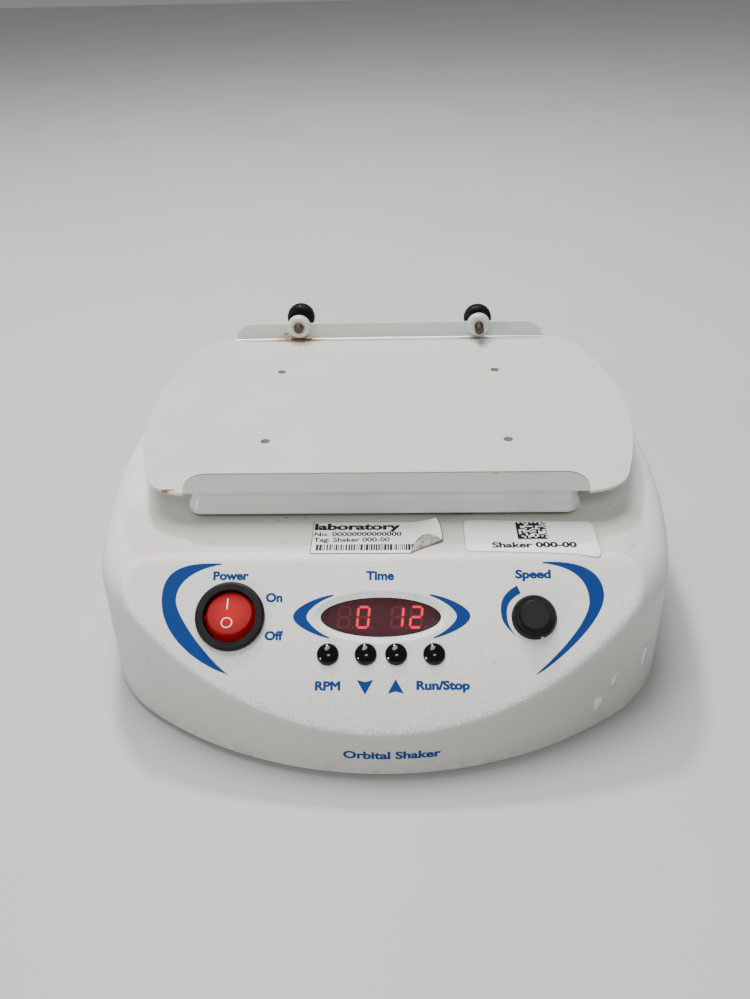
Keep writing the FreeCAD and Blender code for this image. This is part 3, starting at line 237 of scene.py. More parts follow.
class Finish:
    """A material being built: one shader, and the texture steps that feed it."""

    def __init__(self, name, color, roughness, **fixed):
        self.material = bpy.data.materials.new(name)
        self.material.use_nodes = True
        self.tree = self.material.node_tree
        self.shader = self.tree.nodes["Principled BSDF"]
        self.shader.inputs["Base Color"].default_value = color
        self.shader.inputs["Roughness"].default_value = roughness
        for key, value in fixed.items():
            self.shader.inputs[key.replace("_", " ")].default_value = value
        self.color = color
        self.roughness = roughness
        self.height = None
        self.point = self.node("ShaderNodeTexCoord").outputs["Object"]

    def node(self, kind, **settings):
        made = self.tree.nodes.new(kind)
        for key, value in settings.items():
            setattr(made, key, value)
        return made

    def feed(self, socket, value):
        if isinstance(value, bpy.types.NodeSocket):
            self.tree.links.new(value, socket)
        else:
            socket.default_value = value

    def math(self, operation, a, b=0.0):
        step = self.node("ShaderNodeMath", operation=operation)
        self.feed(step.inputs[0], a)
        self.feed(step.inputs[1], b)
        return step.outputs[0]

    def scaled(self, stretch):
        step = self.node("ShaderNodeVectorMath", operation="MULTIPLY")
        self.feed(step.inputs[0], self.point)
        self.feed(step.inputs[1], stretch)
        return step.outputs[0]

    def noise(self, size, detail=3.0, rough=0.55, stretch=(1, 1, 1), warp=0.0):
        """Soft noise whose grain is about size millimetres."""
        step = self.node("ShaderNodeTexNoise")
        self.feed(step.inputs["Vector"], self.scaled(stretch))
        step.inputs["Scale"].default_value = 1.0 / (size * MM)
        step.inputs["Detail"].default_value = detail
        step.inputs["Roughness"].default_value = rough
        step.inputs["Distortion"].default_value = warp
        return step.outputs["Fac"]

    def cells(self, size, feature="F1"):
        """Distances within a pattern of cells about size millimetres wide."""
        step = self.node("ShaderNodeTexVoronoi", feature=feature)
        self.feed(step.inputs["Vector"], self.point)
        step.inputs["Scale"].default_value = 1.0 / (size * MM)
        return step.outputs["Distance"]

    def between(self, value, low, high):
        """0 below low, 1 above high, and a smooth ramp between them; low may be above high."""
        step = self.node("ShaderNodeMapRange", interpolation_type="SMOOTHSTEP")
        self.feed(step.inputs["Value"], value)
        step.inputs["From Min"].default_value = low
        step.inputs["From Max"].default_value = high
        return step.outputs["Result"]

    def near(self, centre, radius, core=0.0, stretch=(1, 1, 1)):
        """1 at a point, falling to 0 at radius millimetres from it."""
        step = self.node("ShaderNodeVectorMath", operation="DISTANCE")
        self.feed(step.inputs[0], self.scaled(stretch))
        step.inputs[1].default_value = [c * s for c, s in zip(centre, stretch)]
        return self.between(step.outputs["Value"], radius * MM, core * MM)

    def along(self, direction):
        """How far a point lies along a direction, in metres."""
        step = self.node("ShaderNodeVectorMath", operation="DOT_PRODUCT")
        self.feed(step.inputs[0], self.point)
        step.inputs[1].default_value = direction
        return step.outputs["Value"]

    def facing(self, direction):
        """How squarely the surface faces a direction, from -1 to 1."""
        normal = self.node("ShaderNodeNewGeometry").outputs["Normal"]
        step = self.node("ShaderNodeVectorMath", operation="DOT_PRODUCT")
        self.feed(step.inputs[0], normal)
        step.inputs[1].default_value = direction
        return step.outputs["Value"]

    def times(self, *masks):
        result = masks[0]
        for mask in masks[1:]:
            result = self.math("MULTIPLY", result, mask)
        return result

    def grown(self, noise, area, push, low, high):
        """Noise pushed up inside an area, then cut off between low and high."""
        return self.between(self.math("ADD", noise, self.math("MULTIPLY", area, push)), low, high)

    def most(self, *masks):
        result = masks[0]
        for mask in masks[1:]:
            result = self.math("MAXIMUM", result, mask)
        return result

    def paint(self, mask, color):
        step = self.node("ShaderNodeMix", data_type="RGBA")
        self.feed(step.inputs[0], mask)
        self.feed(step.inputs[6], self.color)
        self.feed(step.inputs[7], color)
        self.color = step.outputs[2]
        return self

    def rough(self, mask, value):
        step = self.node("ShaderNodeMix", data_type="FLOAT")
        self.feed(step.inputs[0], mask)
        self.feed(step.inputs[2], self.roughness)
        self.feed(step.inputs[3], value)
        self.roughness = step.outputs[0]
        return self

    def relief(self, value, depth):
        """Adds relief: value 0 to 1 is depth millimetres high."""
        part = self.math("MULTIPLY", value, depth * MM)
        self.height = part if self.height is None else self.math("ADD", self.height, part)
        return self

    def done(self):
        self.feed(self.shader.inputs["Base Color"], self.color)
        self.feed(self.shader.inputs["Roughness"], self.roughness)
        if self.height is not None:
            step = self.node("ShaderNodeBump")
            step.inputs["Strength"].default_value = 1.0
            step.inputs["Distance"].default_value = 1.0
            self.feed(step.inputs["Height"], self.height)
            self.feed(self.shader.inputs["Normal"], step.outputs["Normal"])
        return self.material


RUST_PALE = srgb(206, 180, 132)
RUST = srgb(176, 108, 52)
RUST_DARK = srgb(96, 56, 34)
GRIME = srgb(128, 118, 104)


def casing_paint():
    """Satin off-white moulding; its control face and that face's border are stippled and glitter, and the border
    carries painted glints.
    """
    made = Finish("casing_paint", srgb(243, 242, 237), 0.40, Specular_IOR_Level=0.45)
    squarely = made.facing(FACE_OUT)
    on_slope = made.between(squarely, 0.9985, 0.99985)
    border = made.times(made.between(squarely, 0.86, 0.91), made.between(squarely, 0.998, 0.985))
    made.paint(made.times(made.between(made.noise(60, 2), 0.35, 0.75), 0.35), srgb(222, 221, 214))
    made.paint(made.times(made.between(made.noise(2.4, 4, 0.7), 0.62, 0.78), 0.16), srgb(196, 194, 186))
    # the strip of the top in front of the platform is painted warmer and darker
    strip = made.times(
        made.between(made.along((0, 1, 0)), -0.030, -0.050),
        made.between(made.along((0, 1, 0)), -0.0815, -0.0775),
        made.between(made.facing((0, 0, 1)), 0.90, 0.97))
    made.paint(made.math("MULTIPLY", strip, 0.65), srgb(211, 206, 196))
    # painted shade: the walls are painted darker than the top, and darker still towards the bench
    made.paint(made.times(made.between(made.facing((0, 0, 1)), 0.72, 0.10), 0.55), srgb(168, 167, 161))
    made.paint(made.times(made.between(made.along((0, 0, 1)), 0.062, 0.018), 0.75), srgb(190, 188, 182))
    stipple = made.noise(0.62, 2, 0.6)
    glitter = made.between(made.cells(0.46), 0.20, 0.05)
    textured = made.most(on_slope, border)
    made.paint(made.times(textured, made.between(stipple, 0.46, 0.64), 0.55), srgb(246, 245, 240))
    made.paint(made.times(textured, made.between(stipple, 0.50, 0.34), 0.40), srgb(206, 205, 198))
    # painted glints: speckles of the border are painted near-white, as a highlight along it
    made.paint(made.times(border, made.between(stipple, 0.42, 0.60), 0.8), srgb(255, 255, 252))
    made.rough(textured, 0.46)
    made.rough(made.times(textured, glitter), 0.16)
    made.relief(made.times(textured, stipple), 0.085)
    made.relief(made.noise(1.6, 2), 0.010)
    # specks and rubbed dirt, more of it low on the wall
    speck = made.between(made.noise(3.2, 1, 0.3, warp=0.4), 0.765, 0.80)
    made.paint(made.times(speck, made.between(made.noise(30, 1), 0.45, 0.7), 0.75), GRIME)
    low = made.between(made.along((0, 0, 1)), 0.016, 0.0035)
    made.paint(made.times(low, made.between(made.noise(6, 4), 0.40, 0.8), 0.40), GRIME)
    return made.done()


def rust_spots():
    """Where rust has broken through: centre, reach along X in mm, edge, and how narrow it is."""
    left, right = STUDS["left"], STUDS["right"]
    rear_y, front_y = TRAY_HIGH.y, TRAY_LOW.y
    top = TRAY_CENTRE.z
    lip_top = TRAY_HIGH.z
    spots = [
        (Vector((left.x - 0.0010, rear_y - 0.0032, top)), 23.0, 0.12, (1, 6.0, 4.4)),
        (Vector((left.x + 0.0010, rear_y - 0.0034, top + 0.0004)), 12.0, 0.25, (1, 6.5, 5.5)),
        (Vector((left.x, rear_y - 0.0052, left.z + 0.0004)), 5.2, 0.04, (1, 1, 1)),
        (Vector((left.x - 0.0075, rear_y - 0.0013, top + 0.0030)), 5.0, 0.40, (1, 1, 2.4)),
        (Vector((right.x + 0.0002, rear_y - 0.0052, right.z + 0.0010)), 4.2, 0.22, (1, 1, 1)),
        (Vector((TRAY_CENTRE.x - 0.0600, rear_y - 0.0032, top)), 26.0, 0.46, (1, 14, 10)),
        (Vector((TRAY_CENTRE.x - 0.0935, front_y + 0.0024, top - 0.0004)), 6.5, 0.16, (1, 3.0, 5.0)),
        (Vector((TRAY_CENTRE.x + 0.0463, front_y, lip_top)), 3.4, 0.34, (1, 2, 3.4)),
        (Vector((TRAY_CENTRE.x - 0.0100, front_y, lip_top)), 4.4, 0.40, (1, 2, 5)),
    ]
    spacing = frame["record"]["mounts"][0]["dims"]
    corner = Vector((spacing["spacing_x_mm"], spacing["spacing_y_mm"], 0)) * MM / 2
    for sx in (-1, 1):
        for sy in (-1, 1):
            hole = TRAY_CENTRE + Vector((sx * corner.x, sy * corner.y, 0))
            rear_right = sx > 0 and sy > 0
            spots.append((hole, 3.6 if rear_right else 2.6, 0.16 if rear_right else 0.5, (1, 1, 1)))
    return spots


def tray_paint():
    """Powder-coated sheet steel, with rust creeping from the clamps, the holes and the edges."""
    made = Finish("tray_paint", srgb(216, 219, 212), 0.30, Specular_IOR_Level=0.5)
    made.paint(made.times(made.between(made.noise(80, 2), 0.35, 0.75), 0.30), srgb(206, 210, 203))
    made.relief(made.noise(1.9, 3, 0.5), 0.014)
    made.rough(made.between(made.noise(24, 3), 0.4, 0.8), 0.42)
    # painted highlight: the inside of the rear bend is painted near-white, and its thin paint is made shinier and
    # partly metallic
    at_rear = made.between(made.along((0, 1, 0)), TRAY_HIGH.y - 0.0045, TRAY_HIGH.y - 0.0035)
    bend_face = made.between(made.facing((0, -0.7071, 0.7071)), 0.80, 0.90)
    made.paint(made.times(at_rear, bend_face), srgb(255, 255, 253))
    made.rough(made.times(at_rear, bend_face), 0.22)
    made.feed(made.shader.inputs["Metallic"], made.times(at_rear, bend_face, 0.7))
    # the front lip's cut edge is bare and darker
    cut_edge = made.times(
        made.between(made.along((0, 1, 0)), TRAY_LOW.y + 0.0016, TRAY_LOW.y + 0.0013),
        made.between(made.along((0, 0, 1)), TRAY_CENTRE.z + 0.0010, TRAY_CENTRE.z + 0.0020),
        made.between(made.facing((0, 1, 0)), -0.5, -0.2), made.between(made.facing((0, 1, 0)), 0.5, 0.2))
    made.paint(made.math("MULTIPLY", cut_edge, 0.9), srgb(104, 102, 96))
    breakup = made.noise(2.0, 5, 0.7, warp=0.6)
    fine = made.noise(0.8, 4, 0.7)
    for centre, radius, edge, narrow in rust_spots():
        area = made.near(centre, radius, radius * 0.1, stretch=narrow)
        halo = made.grown(breakup, area, 0.55, edge + 0.30, edge + 0.58)
        stain = made.grown(breakup, area, 0.45, edge + 0.40, edge + 0.62)
        bite = made.grown(fine, area, 0.40, edge + 0.52, edge + 0.66)
        made.paint(made.times(area, halo, 0.8), RUST_PALE)
        made.paint(made.times(area, stain, 0.85), RUST)
        made.paint(made.times(area, bite), RUST_DARK)
        made.rough(made.times(area, bite), 0.85)
    # brown dirt gathered along the fold below the right clamp
    right = STUDS["right"]
    fold = Vector((right.x - 0.0035, TRAY_HIGH.y - 0.0030, TRAY_CENTRE.z + 0.0004))
    gathered = made.near(fold, 16.0, 3.0, stretch=(1, 9.0, 8.0))
    gathered = made.grown(breakup, gathered, 0.55, 0.66, 0.88)
    made.paint(made.math("MULTIPLY", gathered, 0.85), srgb(112, 98, 84))
    scratch = made.between(made.noise(0.5, 1, 0.4, stretch=(0.05, 1.0, 1.0), warp=0.2), 0.76, 0.80)
    made.paint(made.times(scratch, made.between(made.noise(14, 1), 0.52, 0.66), 0.30), srgb(168, 168, 160))
    return made.done()


def moulded(name, color, dust, roughness, grain=0.35, depth=0.012, dust_amount=0.25, **fixed):
    """Moulded plastic with a fine eroded grain, some dust and uneven gloss."""
    made = Finish(name, color, roughness, **fixed)
    fine = made.noise(grain, 3, 0.6)
    made.relief(fine, depth)
    made.paint(made.times(made.between(made.noise(7, 4, 0.65), 0.45, 0.8), dust_amount), dust)
    made.paint(made.times(made.between(made.noise(0.5, 2), 0.72, 0.78), dust_amount * 1.4), dust)
    made.rough(made.between(made.noise(5, 3), 0.4, 0.75), min(1.0, roughness + 0.14))
    return made.done()


def metal(name, color, roughness, stretch=(1, 1, 1), depth=0.004, stain=None, stain_amount=0.3):
    """Worked metal: tool lines drawn out along one way, and a little staining."""
    made = Finish(name, color, roughness, Metallic=1.0)
    lines = made.noise(0.35, 3, 0.6, stretch=stretch)
    made.relief(lines, depth)
    made.rough(made.between(lines, 0.35, 0.7), min(1.0, roughness + 0.16))
    made.paint(made.times(made.between(made.noise(9, 4, 0.6), 0.45, 0.75), stain_amount), stain or GRIME)
    return made.done()


def rubber(name, color):
    made = Finish(name, color, 0.78, Specular_IOR_Level=0.3)
    made.relief(made.noise(0.5, 3), 0.02)
    made.paint(made.times(made.between(made.noise(4, 4), 0.45, 0.8), 0.3), srgb(84, 82, 78))
    return made.done()


def button_gloss():
    """Polished black dome with faint finger haze."""
    made = Finish("button_gloss", srgb(3, 3, 4), 0.10, Specular_IOR_Level=0.40)
    haze = made.between(made.noise(2.5, 3), 0.5, 0.8)
    made.rough(haze, 0.17)
    made.paint(made.times(made.between(made.noise(0.6, 1), 0.80, 0.84), 0.4), srgb(100, 98, 92))
    return made.done()


def rocker_lens():
    """Red lens lit from inside, with the moulded grid of its diffuser."""
    made = Finish("rocker_lens", srgb(112, 0, 2), 0.45, Specular_IOR_Level=0.15)
    made.shader.inputs["Emission Strength"].default_value = 0.85
    centre = Vector(JOINTS["power_rocker"]["pos_m"])
    grid = made.node("ShaderNodeTexVoronoi", feature="DISTANCE_TO_EDGE")
    grid.inputs["Randomness"].default_value = 0.0
    grid.inputs["Scale"].default_value = 1.0 / (0.52 * MM)
    made.feed(grid.inputs["Vector"], made.point)
    dots = made.between(grid.outputs["Distance"], 0.05, 0.40)
    glow = made.near(centre + FACE_UP * 0.0008, 11.5, 2.0)
    made.paint(made.math("MULTIPLY", dots, 0.4), srgb(150, 4, 4))
    step = made.node("ShaderNodeMix", data_type="RGBA")
    made.feed(step.inputs[0], made.times(glow, made.math("ADD", 0.55, made.math("MULTIPLY", dots, 0.45))))
    step.inputs[6].default_value = (0.10, 0.0, 0.0, 1)
    step.inputs[7].default_value = (1.0, 0.0, 0.0, 1)
    made.feed(made.shader.inputs["Emission Color"], step.outputs[2])
    made.relief(dots, 0.02)
    return made.done()


def window_tint():
    """Dark red filter that shows the digits behind it; its border is masked and darker still."""
    made = Finish("window_tint", srgb(92, 46, 54), 0.16, Specular_IOR_Level=0.4)
    made.relief(made.noise(0.8, 2), 0.003)
    centre = centre_of("display_window")
    low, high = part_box("display_window")
    half_u = (high.x - low.x) / 2
    half_v = half_u / 3

    def share(direction, half):
        offset = made.math("SUBTRACT", made.along(direction), centre.dot(direction))
        return made.math("POWER", made.math("ABSOLUTE", made.math("DIVIDE", offset, half)), 2.0)

    outward = made.math("ADD", share(FACE_RIGHT, half_u), share(FACE_UP, half_v))
    inward = made.math("ADD", share(FACE_RIGHT, half_u - 1.35 * MM), share(FACE_UP, half_v - 1.35 * MM))
    made.paint(made.times(made.between(made.noise(0.5, 1), 0.76, 0.82), 0.4), srgb(150, 120, 120))
    made.paint(made.between(inward, 0.94, 1.0), srgb(62, 25, 33))
    made.paint(made.between(outward, 0.92, 0.97), srgb(20, 4, 8))
    made.rough(made.between(made.noise(6, 3), 0.45, 0.8), 0.26)
    veil = made.math("MULTIPLY", made.between(inward, 0.96, 1.0), 0.58)
    made.feed(made.shader.inputs["Alpha"], made.math("ADD", veil, 0.42))
    return made.done()


def glowing(name, color, strength, core, surface=None):
    """A lit shape, a little brighter in places."""
    made = Finish(name, surface or color, 0.4)
    mottle = made.between(made.noise(1.4, 2), 0.3, 0.7)
    step = made.node("ShaderNodeMix", data_type="RGBA")
    made.feed(step.inputs[0], mottle)
    step.inputs[6].default_value = color
    step.inputs[7].default_value = core
    made.feed(made.shader.inputs["Emission Color"], step.outputs[2])
    made.shader.inputs["Emission Strength"].default_value = strength
    return made.done()


def ink(name, color, worn, roughness=0.45):
    """Screen print, slightly thin where the stippled surface below shows through."""
    made = Finish(name, color, roughness, Specular_IOR_Level=0.2)
    made.paint(made.times(made.between(made.noise(0.5, 2), 0.50, 0.75), 0.35), worn)
    made.paint(made.times(made.between(made.noise(9, 3), 0.4, 0.8), 0.2), worn)
    made.relief(made.noise(0.55, 2, 0.6), 0.03)
    return made.done()


def paper(name, color, shade, fibre=0.6):
    made = Finish(name, color, 0.48, Specular_IOR_Level=0.35)
    made.paint(made.times(made.between(made.noise(fibre, 4, 0.7), 0.4, 0.75), 0.25), shade)
    made.paint(made.times(made.between(made.noise(11, 3), 0.5, 0.8), 0.3), shade)
    made.relief(made.noise(0.4, 3), 0.006)
    return made.done()


def worn_back():
    """The gummy back of an old sticker, blotched with dirt."""
    made = Finish("sticker_back", srgb(186, 180, 172), 0.55, Specular_IOR_Level=0.3)
    blotches = made.between(made.noise(1.6, 4, 0.75, warp=0.5), 0.44, 0.62)
    made.paint(made.math("MULTIPLY", blotches, 0.8), srgb(104, 94, 84))
    made.paint(made.times(made.between(made.noise(0.7, 3, 0.7), 0.55, 0.68), 0.7), srgb(66, 58, 52))
    made.relief(made.noise(0.9, 4, 0.7), 0.03)
    return made.done()


def circuit_board():
    """Green laminate with paler copper tracks under its lacquer."""
    made = Finish("circuit_board", srgb(14, 74, 44), 0.32)
    tracks = made.between(made.cells(3.2, "DISTANCE_TO_EDGE"), 0.10, 0.06)
    made.paint(made.times(tracks, 0.7), srgb(38, 120, 74))
    made.relief(tracks, 0.03)
    made.paint(made.times(made.between(made.noise(12, 3), 0.5, 0.8), 0.3), srgb(8, 54, 34))
    return made.done()


def component_mix():
    """Black cans and dark blue and amber blocks, told apart by where they stand."""
    made = Finish("component_mix", srgb(22, 24, 34), 0.4)
    made.paint(made.between(made.noise(26, 0), 0.50, 0.54), srgb(120, 84, 30))
    made.paint(made.between(made.noise(31, 0, warp=0.3), 0.56, 0.60), srgb(30, 60, 130))
    made.relief(made.noise(0.8, 2), 0.02)
    return made.done()


def knob_plastic():
    """Black moulding; the top face of the speed knob's cap is painted a lighter grey-black."""
    made = Finish("knob_plastic", srgb(7, 7, 8), 0.42, Specular_IOR_Level=0.20)
    made.relief(made.noise(0.45, 3, 0.6), 0.012)
    made.paint(made.times(made.between(made.noise(7, 4, 0.65), 0.45, 0.8), 0.13), srgb(84, 82, 80))
    knob = NODES["speed_knob"]
    top = max((knob.matrix_world @ v.co).dot(FACE_OUT) for v in knob.data.vertices)
    cap = made.times(
        made.between(made.facing(FACE_OUT), 0.992, 0.998),
        made.between(made.along(FACE_OUT), top - 1.2 * MM, top - 0.9 * MM))
    made.paint(cap, srgb(27, 27, 30))
    made.rough(made.between(made.noise(5, 3), 0.4, 0.75), 0.54)
    return made.done()


def turned_brass():
    return metal("turned_brass", srgb(190, 152, 84), 0.28, stretch=(1, 1, 0.1), stain=srgb(120, 92, 50))


def make_materials():
    return {
        "casing": casing_paint(),
        "painted_sheet": tray_paint(),
        "plated_steel": metal("plated_steel", srgb(186, 184, 176), 0.30, stain=srgb(150, 140, 112)),
        "rubber": rubber("foot_rubber", srgb(22, 22, 23)),
        "machined_aluminium": metal("machined_aluminium", srgb(206, 208, 210), 0.30, stretch=(0.1, 1, 1)),
        "bearing_steel": metal("bearing_steel", srgb(170, 172, 176), 0.20, stretch=(1, 1, 0.1)),
        "motor_case": moulded("motor_case", srgb(26, 26, 28), srgb(70, 68, 64), 0.38),
        "belt": rubber("belt_rubber", srgb(16, 16, 17)),
        "brass": turned_brass(),
        "circuit_board": circuit_board(),
        "black_plastic": moulded(
            "bezel_plastic", srgb(10, 10, 11), srgb(80, 78, 74), 0.46, grain=0.6, depth=0.03,
            dust_amount=0.14, Specular_IOR_Level=0.26),
        "button_plastic": button_gloss(),
        "rocker_lens": rocker_lens(),
        "window_red": window_tint(),
        "display_grey": moulded("display_block", srgb(44, 14, 20), srgb(60, 24, 30), 0.5),
        "component_mix": component_mix(),
        "terminal_metal": metal("tinned_brass", srgb(196, 182, 140), 0.28),
        "stud_steel": metal(
            "stud_steel", srgb(88, 84, 82), 0.42, stain=srgb(78, 56, 42), stain_amount=0.6),
        "knob_black": knob_plastic(),
    }


def dress_nodes(materials):
    """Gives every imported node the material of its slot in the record."""
    for part in frame["record"]["subparts"]:
        node = NODES[part["node"]]
        for holder in node.material_slots:
            holder.link = "OBJECT"
            holder.material = materials[part["material_slot"]]


# ---- printed control face ----

def mirrored(points):
    return [(-p[0], p[1]) for p in points]


def add_swooshes(film):
    """The four tapering crescents, and the blunt one beside the knob."""
    outer = crescent_side(
        ((-66.0, -3.3), (-1, 0.01)), ((-90.0, -15.6), (-0.08, -1)), ((-61.4, -48.9), (0.96, -0.28)),
        (0.39, 0.47, 0.40, 0.28))
    inner = crescent_side(
        ((-66.0, -3.8), (-1, -0.15)), ((-84.1, -19.2), (0.08, -1)), ((-61.4, -48.7), (0.87, -0.50)),
        (0.39, 0.39, 0.19, 0.20))
    film.strip(outer, inner)
    outer = crescent_side(
        ((65.9, -3.4), (1, 0.05)), ((90.1, -16.4), (0.05, -1)), ((61.3, -49.3), (-0.90, -0.43)),
        (0.42, 0.42, 0.26, 0.16))
    inner = crescent_side(
        ((65.9, -3.9), (1, -0.11)), ((84.0, -19.4), (0, -1)), ((61.3, -49.0), (-0.77, -0.64)),
        (0.30, 0.50, 0.24, 0.25))
    film.strip(outer, inner)
    outer = crescent_side(
        ((-19.6, -16.6), (-1, -0.14)), ((-35.9, -25.6), (0, -1)), ((-20.9, -34.7), (1, -0.24)),
        (0.40, 0.19, 0.20, 0.42))
    inner = crescent_side(
        ((-19.6, -17.2), (-1, -0.34)), ((-30.4, -25.8), (0, -1)), ((-20.9, -34.2), (1, -0.42)),
        (0.43, 0.20, 0.15, 0.45))
    film.strip(outer, inner)
    film.strip(mirrored(outer), mirrored(inner))
    outer = crescent_side(
        ((55.1, -13.1), (-1, -0.60)), ((48.2, -23.4), (0, -1)), ((54.0, -33.9), (0.72, -0.70)))
    inner = crescent_side(
        ((56.5, -16.4), (-1, -0.55)), ((50.6, -24.8), (0, -1)), ((54.0, -33.7), (0.62, -0.78)))
    film.strip(outer, inner)


def add_words(film):
    """Plain control words and the two arrows: each word's left, low, right and high edge."""
    for words, left, low, right, high in (
            ("Power", -69.3, -10.2, -54.5, -6.6), ("Time", -6.3, -10.5, 5.2, -6.8),
            ("Speed", 54.6, -10.1, 69.1, -6.6), ("On", -47.2, -19.5, -40.4, -15.8),
            ("Off", -47.2, -35.1, -39.7, -31.5), ("RPM", -26.4, -55.1, -16.3, -51.6),
            ("Run/Stop", 13.8, -54.9, 35.0, -51.5)):
        film.text(words, left, low, right, high, weight=0.235)
    film.polygon([(-9.85, -51.1), (-6.5, -52.0), (-3.2, -51.1), (-6.5, -57.0)])
    film.polygon([(2.4, -56.6), (5.65, -55.7), (8.9, -56.6), (5.65, -50.8)])


def make_face_print(blue):
    film = Film(Wrap("housing_shell", on_face, -FACE_OUT))
    add_swooshes(film)
    add_words(film)
    film.finish("face_print", blue, "base")


def make_front_words(blue):
    """The kind of machine, in plain letters on the front wall."""
    def place(x, z):
        return Vector((x * MM, CAD_BOX[0][1], z * MM))
    film = Film(Wrap("housing_shell", place, (0, 1, 0), reach=0.05))
    film.text("Orbital Shaker", -15.5, 12.2, 23.5, 16.2, weight=0.22)
    film.finish("front_print", blue, "base")


# ---- display ----
DIGIT_CENTRES = (-15.2, -7.5, 6.4, 14.1)
DIGIT_V = ROW_V + 0.2
DIGIT_HALF = (2.75, 4.75)
DIGIT_SLANT = 0.085
STROKE = 1.05
POINT_GAP = 0.8              # the decimal point, from the digit's right edge
POINT_DROP = 4.3             # and below its middle
POINT_RADIUS = 0.5
LIT = {0: "", 1: "abcdef", 2: "bc", 3: "abged"}


def segment_outlines():
    """The seven bars of a digit, as six-sided outlines about its centre."""
    half_w, half_h = DIGIT_HALF
    s = STROKE / 2
    gap = 0.16

    def level(y):
        x = half_w - s - gap
        return [(-x, y), (-x + s, y + s), (x - s, y + s), (x, y), (x - s, y - s), (-x + s, y - s)]

    def upright(x, y0, y1):
        y0, y1 = y0 + gap, y1 - gap
        return [(x, y0), (x - s, y0 + s), (x - s, y1 - s), (x, y1), (x + s, y1 - s), (x + s, y0 + s)]

    top, middle = half_h - s, 0.0
    side = half_w - s
    return {
        "a": level(top), "g": level(middle), "d": level(-top),
        "f": upright(-side, middle, top), "b": upright(side, middle, top),
        "e": upright(-side, -top, middle), "c": upright(side, -top, middle),
    }


def make_digits():
    block_top = (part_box("display_module")[1] - FACE_ORIGIN).dot(FACE_OUT)
    wrap = Wrap("display_module", on_face, -FACE_OUT)
    lit = Film(wrap, 0.02, 0.12)
    dark = Film(wrap, 0.02, 0.08)
    for place, centre in enumerate(DIGIT_CENTRES):
        for name, outline in segment_outlines().items():
            points = [(centre + x + y * DIGIT_SLANT, DIGIT_V + y) for x, y in outline]
            (lit if name in LIT[place] else dark).polygon(points)
        spot = centre + DIGIT_HALF[0] + POINT_GAP
        low = DIGIT_V - POINT_DROP
        turns = [i * math.pi / 6 for i in range(12)]
        dark.polygon([(spot + POINT_RADIUS * math.cos(a), low + POINT_RADIUS * math.sin(a)) for a in turns])
    lit_red = glowing("lit_red", (1.0, 0.0, 0.03, 1), 4.2, (1.0, 0.02, 0.02, 1))
    # the unlit segments get a faint painted glow too, though nothing lights them
    unlit_glow_red = glowing("unlit_glow_red", (0.5, 0.02, 0.05, 1), 0.16, (0.6, 0.03, 0.06, 1), srgb(170, 60, 76))
    lit.finish("lit_segments", lit_red, "base")
    dark.finish("dark_segments", unlit_glow_red, "base")


# ---- rocker symbols ----
ON_BAR = (-62.8, -22.9, -62.36, -18.4)     # left, low, right and high edge
OFF_RING = (-62.3, -28.6, 2.30, 2.25)      # centre and half axes
OFF_STROKE = 0.38


def make_rocker_symbols():
    wrap = Wrap("rocker", on_face, -FACE_OUT)
    film = Film(wrap, 0.02, 0.10)
    film.rectangle(*ON_BAR)
    u, v, half_u, half_v = OFF_RING
    turns = [i * math.pi / 16 for i in range(32)]
    outer = [(u + half_u * math.cos(a), v + half_v * math.sin(a)) for a in turns]
    half_u, half_v = half_u - OFF_STROKE, half_v - OFF_STROKE
    inner = [(u + half_u * math.cos(a), v + half_v * math.sin(a)) for a in turns]
    film.strip(outer, inner, closed=True)
    white = glowing("symbol_white", srgb(244, 214, 220), 0.55, srgb(255, 190, 200))
    film.finish("rocker_symbols", white, "rocker")


# ---- stickers ----

def on_top(x, y):
    return Vector((x * MM, y * MM, CASING_TOP))


def sheet_piece(name, inside, columns, rows, bounds, lift, material, under=0.06, thickness=0.09):
    """A sticker: a fine closed sheet, laid as a grid over bounds and shaped by inside(x, y)."""
    x0, y0, x1, y1 = bounds
    wrap = Wrap("housing_shell", on_top, (0, 0, -1))
    vertices = []
    index = {}
    for j in range(rows + 1):
        for i in range(columns + 1):
            x = x0 + (x1 - x0) * i / columns
            y = y0 + (y1 - y0) * j / rows
            px, py = inside(x, y)
            raised = lift(px, py)
            index[(i, j)] = len(vertices)
            vertices.append(wrap(px, py, under + raised))
            vertices.append(wrap(px, py, under + raised + thickness))
    faces = []
    for j in range(rows):
        for i in range(columns):
            a, b, c, d = (index[k] for k in ((i, j), (i + 1, j), (i + 1, j + 1), (i, j + 1)))
            faces += [(a + 1, b + 1, c + 1, d + 1), (a, d, c, b)]
    border = [(i, 0) for i in range(columns)] + [(columns, j) for j in range(rows)]
    border += [(i, rows) for i in range(columns, 0, -1)] + [(0, j) for j in range(rows, 0, -1)]
    for here, there in zip(border, border[1:] + border[:1]):
        a, b = index[here], index[there]
        faces.append((a, b, b + 1, a + 1))
    return add_piece(name, vertices, faces, material, "base", smooth=False)


def sticker_shadow_line(name, inside, columns, rows, bounds, lift, material, reach):
    """Painted shadow along a sticker's edge: a thinner, darker sheet below it, reaching further."""
    x0, y0, x1, y1 = bounds

    def widened(x, y):
        cx = min(max(x, x0), x1)
        cy = min(max(y, y0), y1)
        px, py = inside(cx, cy)
        return px + x - cx, py + y - cy
    around = (x0 - reach, y0 - reach, x1 + reach, y1 + reach)
    return sheet_piece(name, widened, columns, rows, around, lift, material, under=0.03, thickness=0.02)


